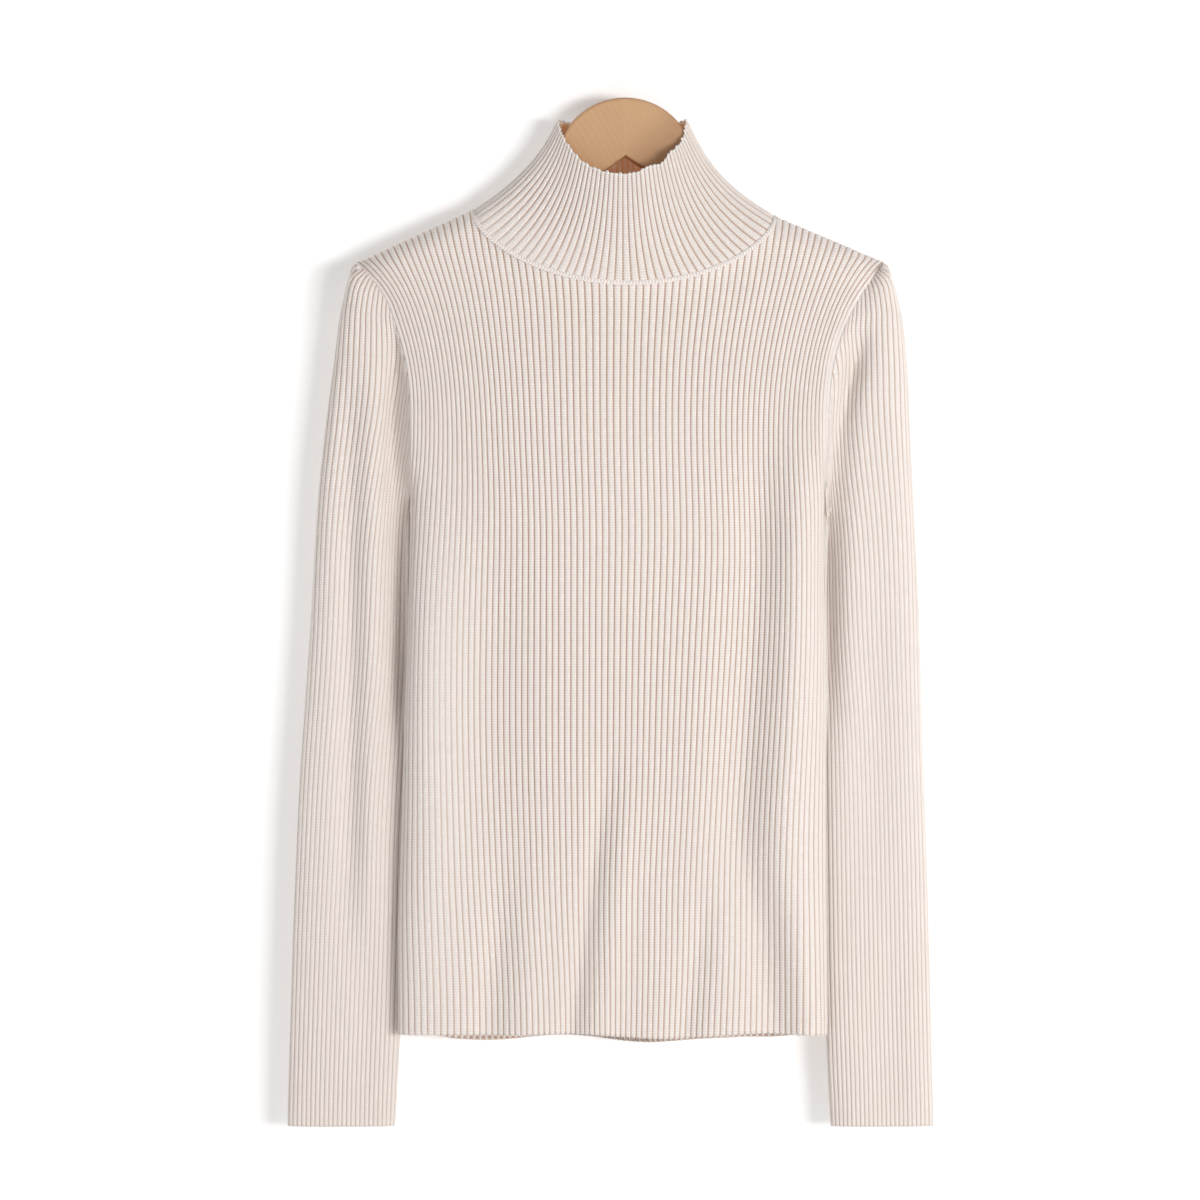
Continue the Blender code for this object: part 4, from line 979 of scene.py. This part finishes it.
def collar(front, back, corners_front, corners_back, look, inside_look):
    """The mock neck: ribs from its scalloped rim down to the linked neck seam."""
    front_columns = rib_columns(COLLAR_FRONT_RIBS)
    back_columns = rib_columns(COLLAR_BACK_RIBS)
    front_seam = front[0, corners_front[0]:corners_front[1] + 1]
    back_seam = back[0, corners_back[0]:corners_back[1] + 1]
    ahead = collar_half(front_seam, -1, front_columns, COLLAR_FRONT_STAND, COLLAR_FRONT_DIP)
    behind = collar_half(back_seam, 1, back_columns, COLLAR_BACK_STAND, COLLAR_BACK_DIP)
    points = np.concatenate([ahead, behind[:, -2::-1]], axis=1)
    columns = np.concatenate([
        front_columns, front_columns[-1] + back_columns[-1] - back_columns[-2::-1]])
    normals = tube_normals(points)
    foot = near_row(COLLAR_ROWS, COLLAR_HEIGHT, 3.0, False)
    rim = near_row(COLLAR_ROWS, COLLAR_HEIGHT, 4.0, True)
    round_neck = np.concatenate([
        front_columns / front_columns[-1], 1.0 + back_columns[1:] / back_columns[-1]])
    to_left = held(np.cos(round_neck * np.pi))
    stretched = near_row(COLLAR_ROWS, COLLAR_HEIGHT, 34.0, False) * (0.1 + 0.5 * to_left)
    rise = rise_field(columns, len(COLLAR_ROWS)) * (1.0 - 0.7 * foot) * (1.0 - 0.6 * stretched)
    rise = (rise - 0.5 * foot ** 2) * (1.0 - 0.2 * rim)
    placed = points + rise[:, :, None] * normals
    scallop = 1.4 + 0.5 * np.sin(np.floor(columns) * 2.4) + 0.3 * np.sin(np.floor(columns) * 4.1)
    placed[0, :, 2] += scallop * rib_profile(columns) - 0.7
    ribbed = 1.0 - stretched
    courses = course_count(points)
    piece = knit_grid("collar_knit", placed, normals, columns, courses, ribbed, look, True)
    piece.data.materials.append(inside_look)
    add_thickness(piece)
    piece.modifiers[0].material_offset = 1
    finish_piece(piece, ["collar"])
    return piece, points[-1], normals[-1]


def neck_linking(seam, normals, look):
    """A low chain of loops that covers the join of collar and body."""
    along = unit(np.roll(seam, -1, axis=0) - np.roll(seam, 1, axis=0))
    across = unit(np.cross(along, normals))
    half_width, foot, stand, loop_length = 1.6, 0.3, 0.75, 2.2
    turn = np.linspace(0.0, np.pi, 9)
    points = np.stack([
        seam + across * half_width * math.cos(a) + normals * (foot + stand * math.sin(a) ** 0.7)
        for a in turn])
    u = lengths_along(seam) / loop_length
    v = np.broadcast_to(np.cos(turn)[:, None], points.shape[:2])
    outward = np.broadcast_to(normals, points.shape)
    piece = knit_grid("neck_linking", points, outward, u, v, np.zeros(points.shape[:2]), look, True)
    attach(piece, "root")
    return piece


def area_light(name, place, size, power, colour):
    """A soft box turned to the sweater's middle; size is its width and height."""
    data = bpy.data.lights.new(name, "AREA")
    data.shape = "RECTANGLE"
    data.size, data.size_y = size
    data.energy = power
    data.color = linear(colour)[:3]
    light = bpy.data.objects.new(name, data)
    light.location = place
    light.rotation_euler = (LIGHT_AIM - Vector(place)).to_track_quat("-Z", "Y").to_euler()
    bpy.context.scene.collection.objects.link(light)


def box(name, middle, size, look):
    """A plain box."""
    shape = bmesh.new()
    bmesh.ops.create_cube(shape, size=1.0)
    for vertex in shape.verts:
        vertex.co = [m + s * c for m, s, c in zip(middle, size, vertex.co)]
    return new_object(name, shape, look)


def wall_place(across, up):
    """The paper hangs just behind the sweater and bows a little away from its lower half."""
    z = FLOOR_Z + 0.5 * STUDIO_SIZE * (up + 1.0)
    share = held((WALL_BOW["top"] - z) / WALL_BOW["height"])
    return (STUDIO_SIZE * across, WALL_BOW["y"] + WALL_BOW["depth"] * math.sin(math.pi * share), z)


def floor_place(across, back):
    """The floor reaches as far behind the wall as before it."""
    return (STUDIO_SIZE * across, STUDIO_SIZE * back, FLOOR_Z)


def stage_paper(name, place, look):
    """Studio paper; place turns a point of a square from -1 to 1 into a place in the studio."""
    shape = bmesh.new()
    bmesh.ops.create_grid(shape, x_segments=1, y_segments=120, size=1.0)
    for vertex in shape.verts:
        vertex.co = place(vertex.co.x, vertex.co.y)
    paper = new_object(name, shape, look)
    return paper


knit = rib_knit("cream_rib_knit", 0.0)
# The inside of the neck has painted shade and a painted warm glow.
neck_inside = rib_knit("cream_rib_knit_inside_neck", 0.32)
front, front_points, front_corners = panel(
    "front_knit", "front", FRONT_NECK, FRONT_FOLDS, -1, FRONT_STRETCH, knit)
back, back_points, back_corners = panel(
    "back_knit", "back", BACK_NECK, BACK_FOLDS, 1, BACK_STRETCH, knit)
left = sleeve("sleeve_knit_left", "sleeve_left", armhole_lines(front_points, back_points, 0),
              LEFT_SLEEVE, LEFT_EDGE, (LEFT_SLEEVE_FRONT_FOLDS, LEFT_SLEEVE_BACK_FOLDS),
              LEFT_SLEEVE_STRETCH, knit)
right = sleeve("sleeve_knit_right", "sleeve_right", armhole_lines(front_points, back_points, -1),
               RIGHT_SLEEVE, RIGHT_EDGE, (RIGHT_SLEEVE_FRONT_FOLDS, RIGHT_SLEEVE_BACK_FOLDS),
               RIGHT_SLEEVE_STRETCH, knit)
neck, neck_seam, neck_out = collar(
    front_points, back_points, front_corners, back_corners, knit, neck_inside)
chain = neck_linking(neck_seam, neck_out, linking_yarn())

for node, look_name, grain_turn, ring_place in (
        ("hanger_half_left", "pale_beech_left", 0.85, (0.3, 0.0, 0.1)),
        ("hanger_half_right", "pale_beech_right", 1.45, (-0.02, 0.0, 0.03))):
    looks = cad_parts[node].data.materials
    looks.clear()
    looks.append(beech(look_name, grain_turn, ring_place))

glue = box("glue_line", (0.0, 0.0, 0.5 * NOTCH_Z * MM), GLUE_SIZE, wood_glue())
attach(glue, "root")

# The wall's paper can be looked through from behind.
wall_look, tree, shader = white_stage("white_wall_paper", 0.11)
one_sided = add_node(tree, "ShaderNodeMixShader", [
    (add_node(tree, "ShaderNodeNewGeometry").outputs["Backfacing"], 0),
    (shader.outputs[0], 1),
    (add_node(tree, "ShaderNodeBsdfTransparent").outputs[0], 2)])
tree.links.new(one_sided.outputs[0], tree.nodes["Material Output"].inputs[0])
stage_paper("wall", wall_place, wall_look).visible_shadow = False
stage_paper("floor", floor_place, white_stage("pale_floor_paper", 0.0)[0])

area_light("key", (1.75, -2.82, -0.44), (1.3, 0.6), 61.0, "#FFFFFF")
area_light("fill", (-1.2, -3.0, 0.2), (2.0, 2.0), 9.0, "#FAFCFF")
area_light("back_key", (-2.0, 2.6, 0.9), (1.2, 1.2), 45.0, "#FFFDFA")

world = bpy.data.worlds.new("studio")
bpy.context.scene.world = world
world.use_nodes = True
sky = world.node_tree
seen = add_node(sky, "ShaderNodeBackground", in_0=(1.0, 1.0, 1.0, 1.0), in_1=1.0)
lit = sky.nodes["Background"]
lit.inputs[0].default_value = linear("#FFFFFF")
lit.inputs[1].default_value = 0.36
both = add_node(sky, "ShaderNodeMixShader", [
    (add_node(sky, "ShaderNodeLightPath").outputs["Is Camera Ray"], 0),
    (lit.outputs[0], 1), (seen.outputs[0], 2)])
sky.links.new(both.outputs[0], sky.nodes["World Output"].inputs[0])

camera_data = bpy.data.cameras.new("photo")
camera_data.sensor_width = SENSOR_WIDTH
camera_data.lens = SENSOR_WIDTH * -CAMERA_PLACE[1] / SEEN_WIDTH
camera = bpy.data.objects.new("photo", camera_data)
camera.location = CAMERA_PLACE
camera.rotation_euler = (math.radians(90.0), 0.0, 0.0)
bpy.context.scene.collection.objects.link(camera)
bpy.context.scene.camera = camera
bpy.context.scene.view_settings.view_transform = "Standard"
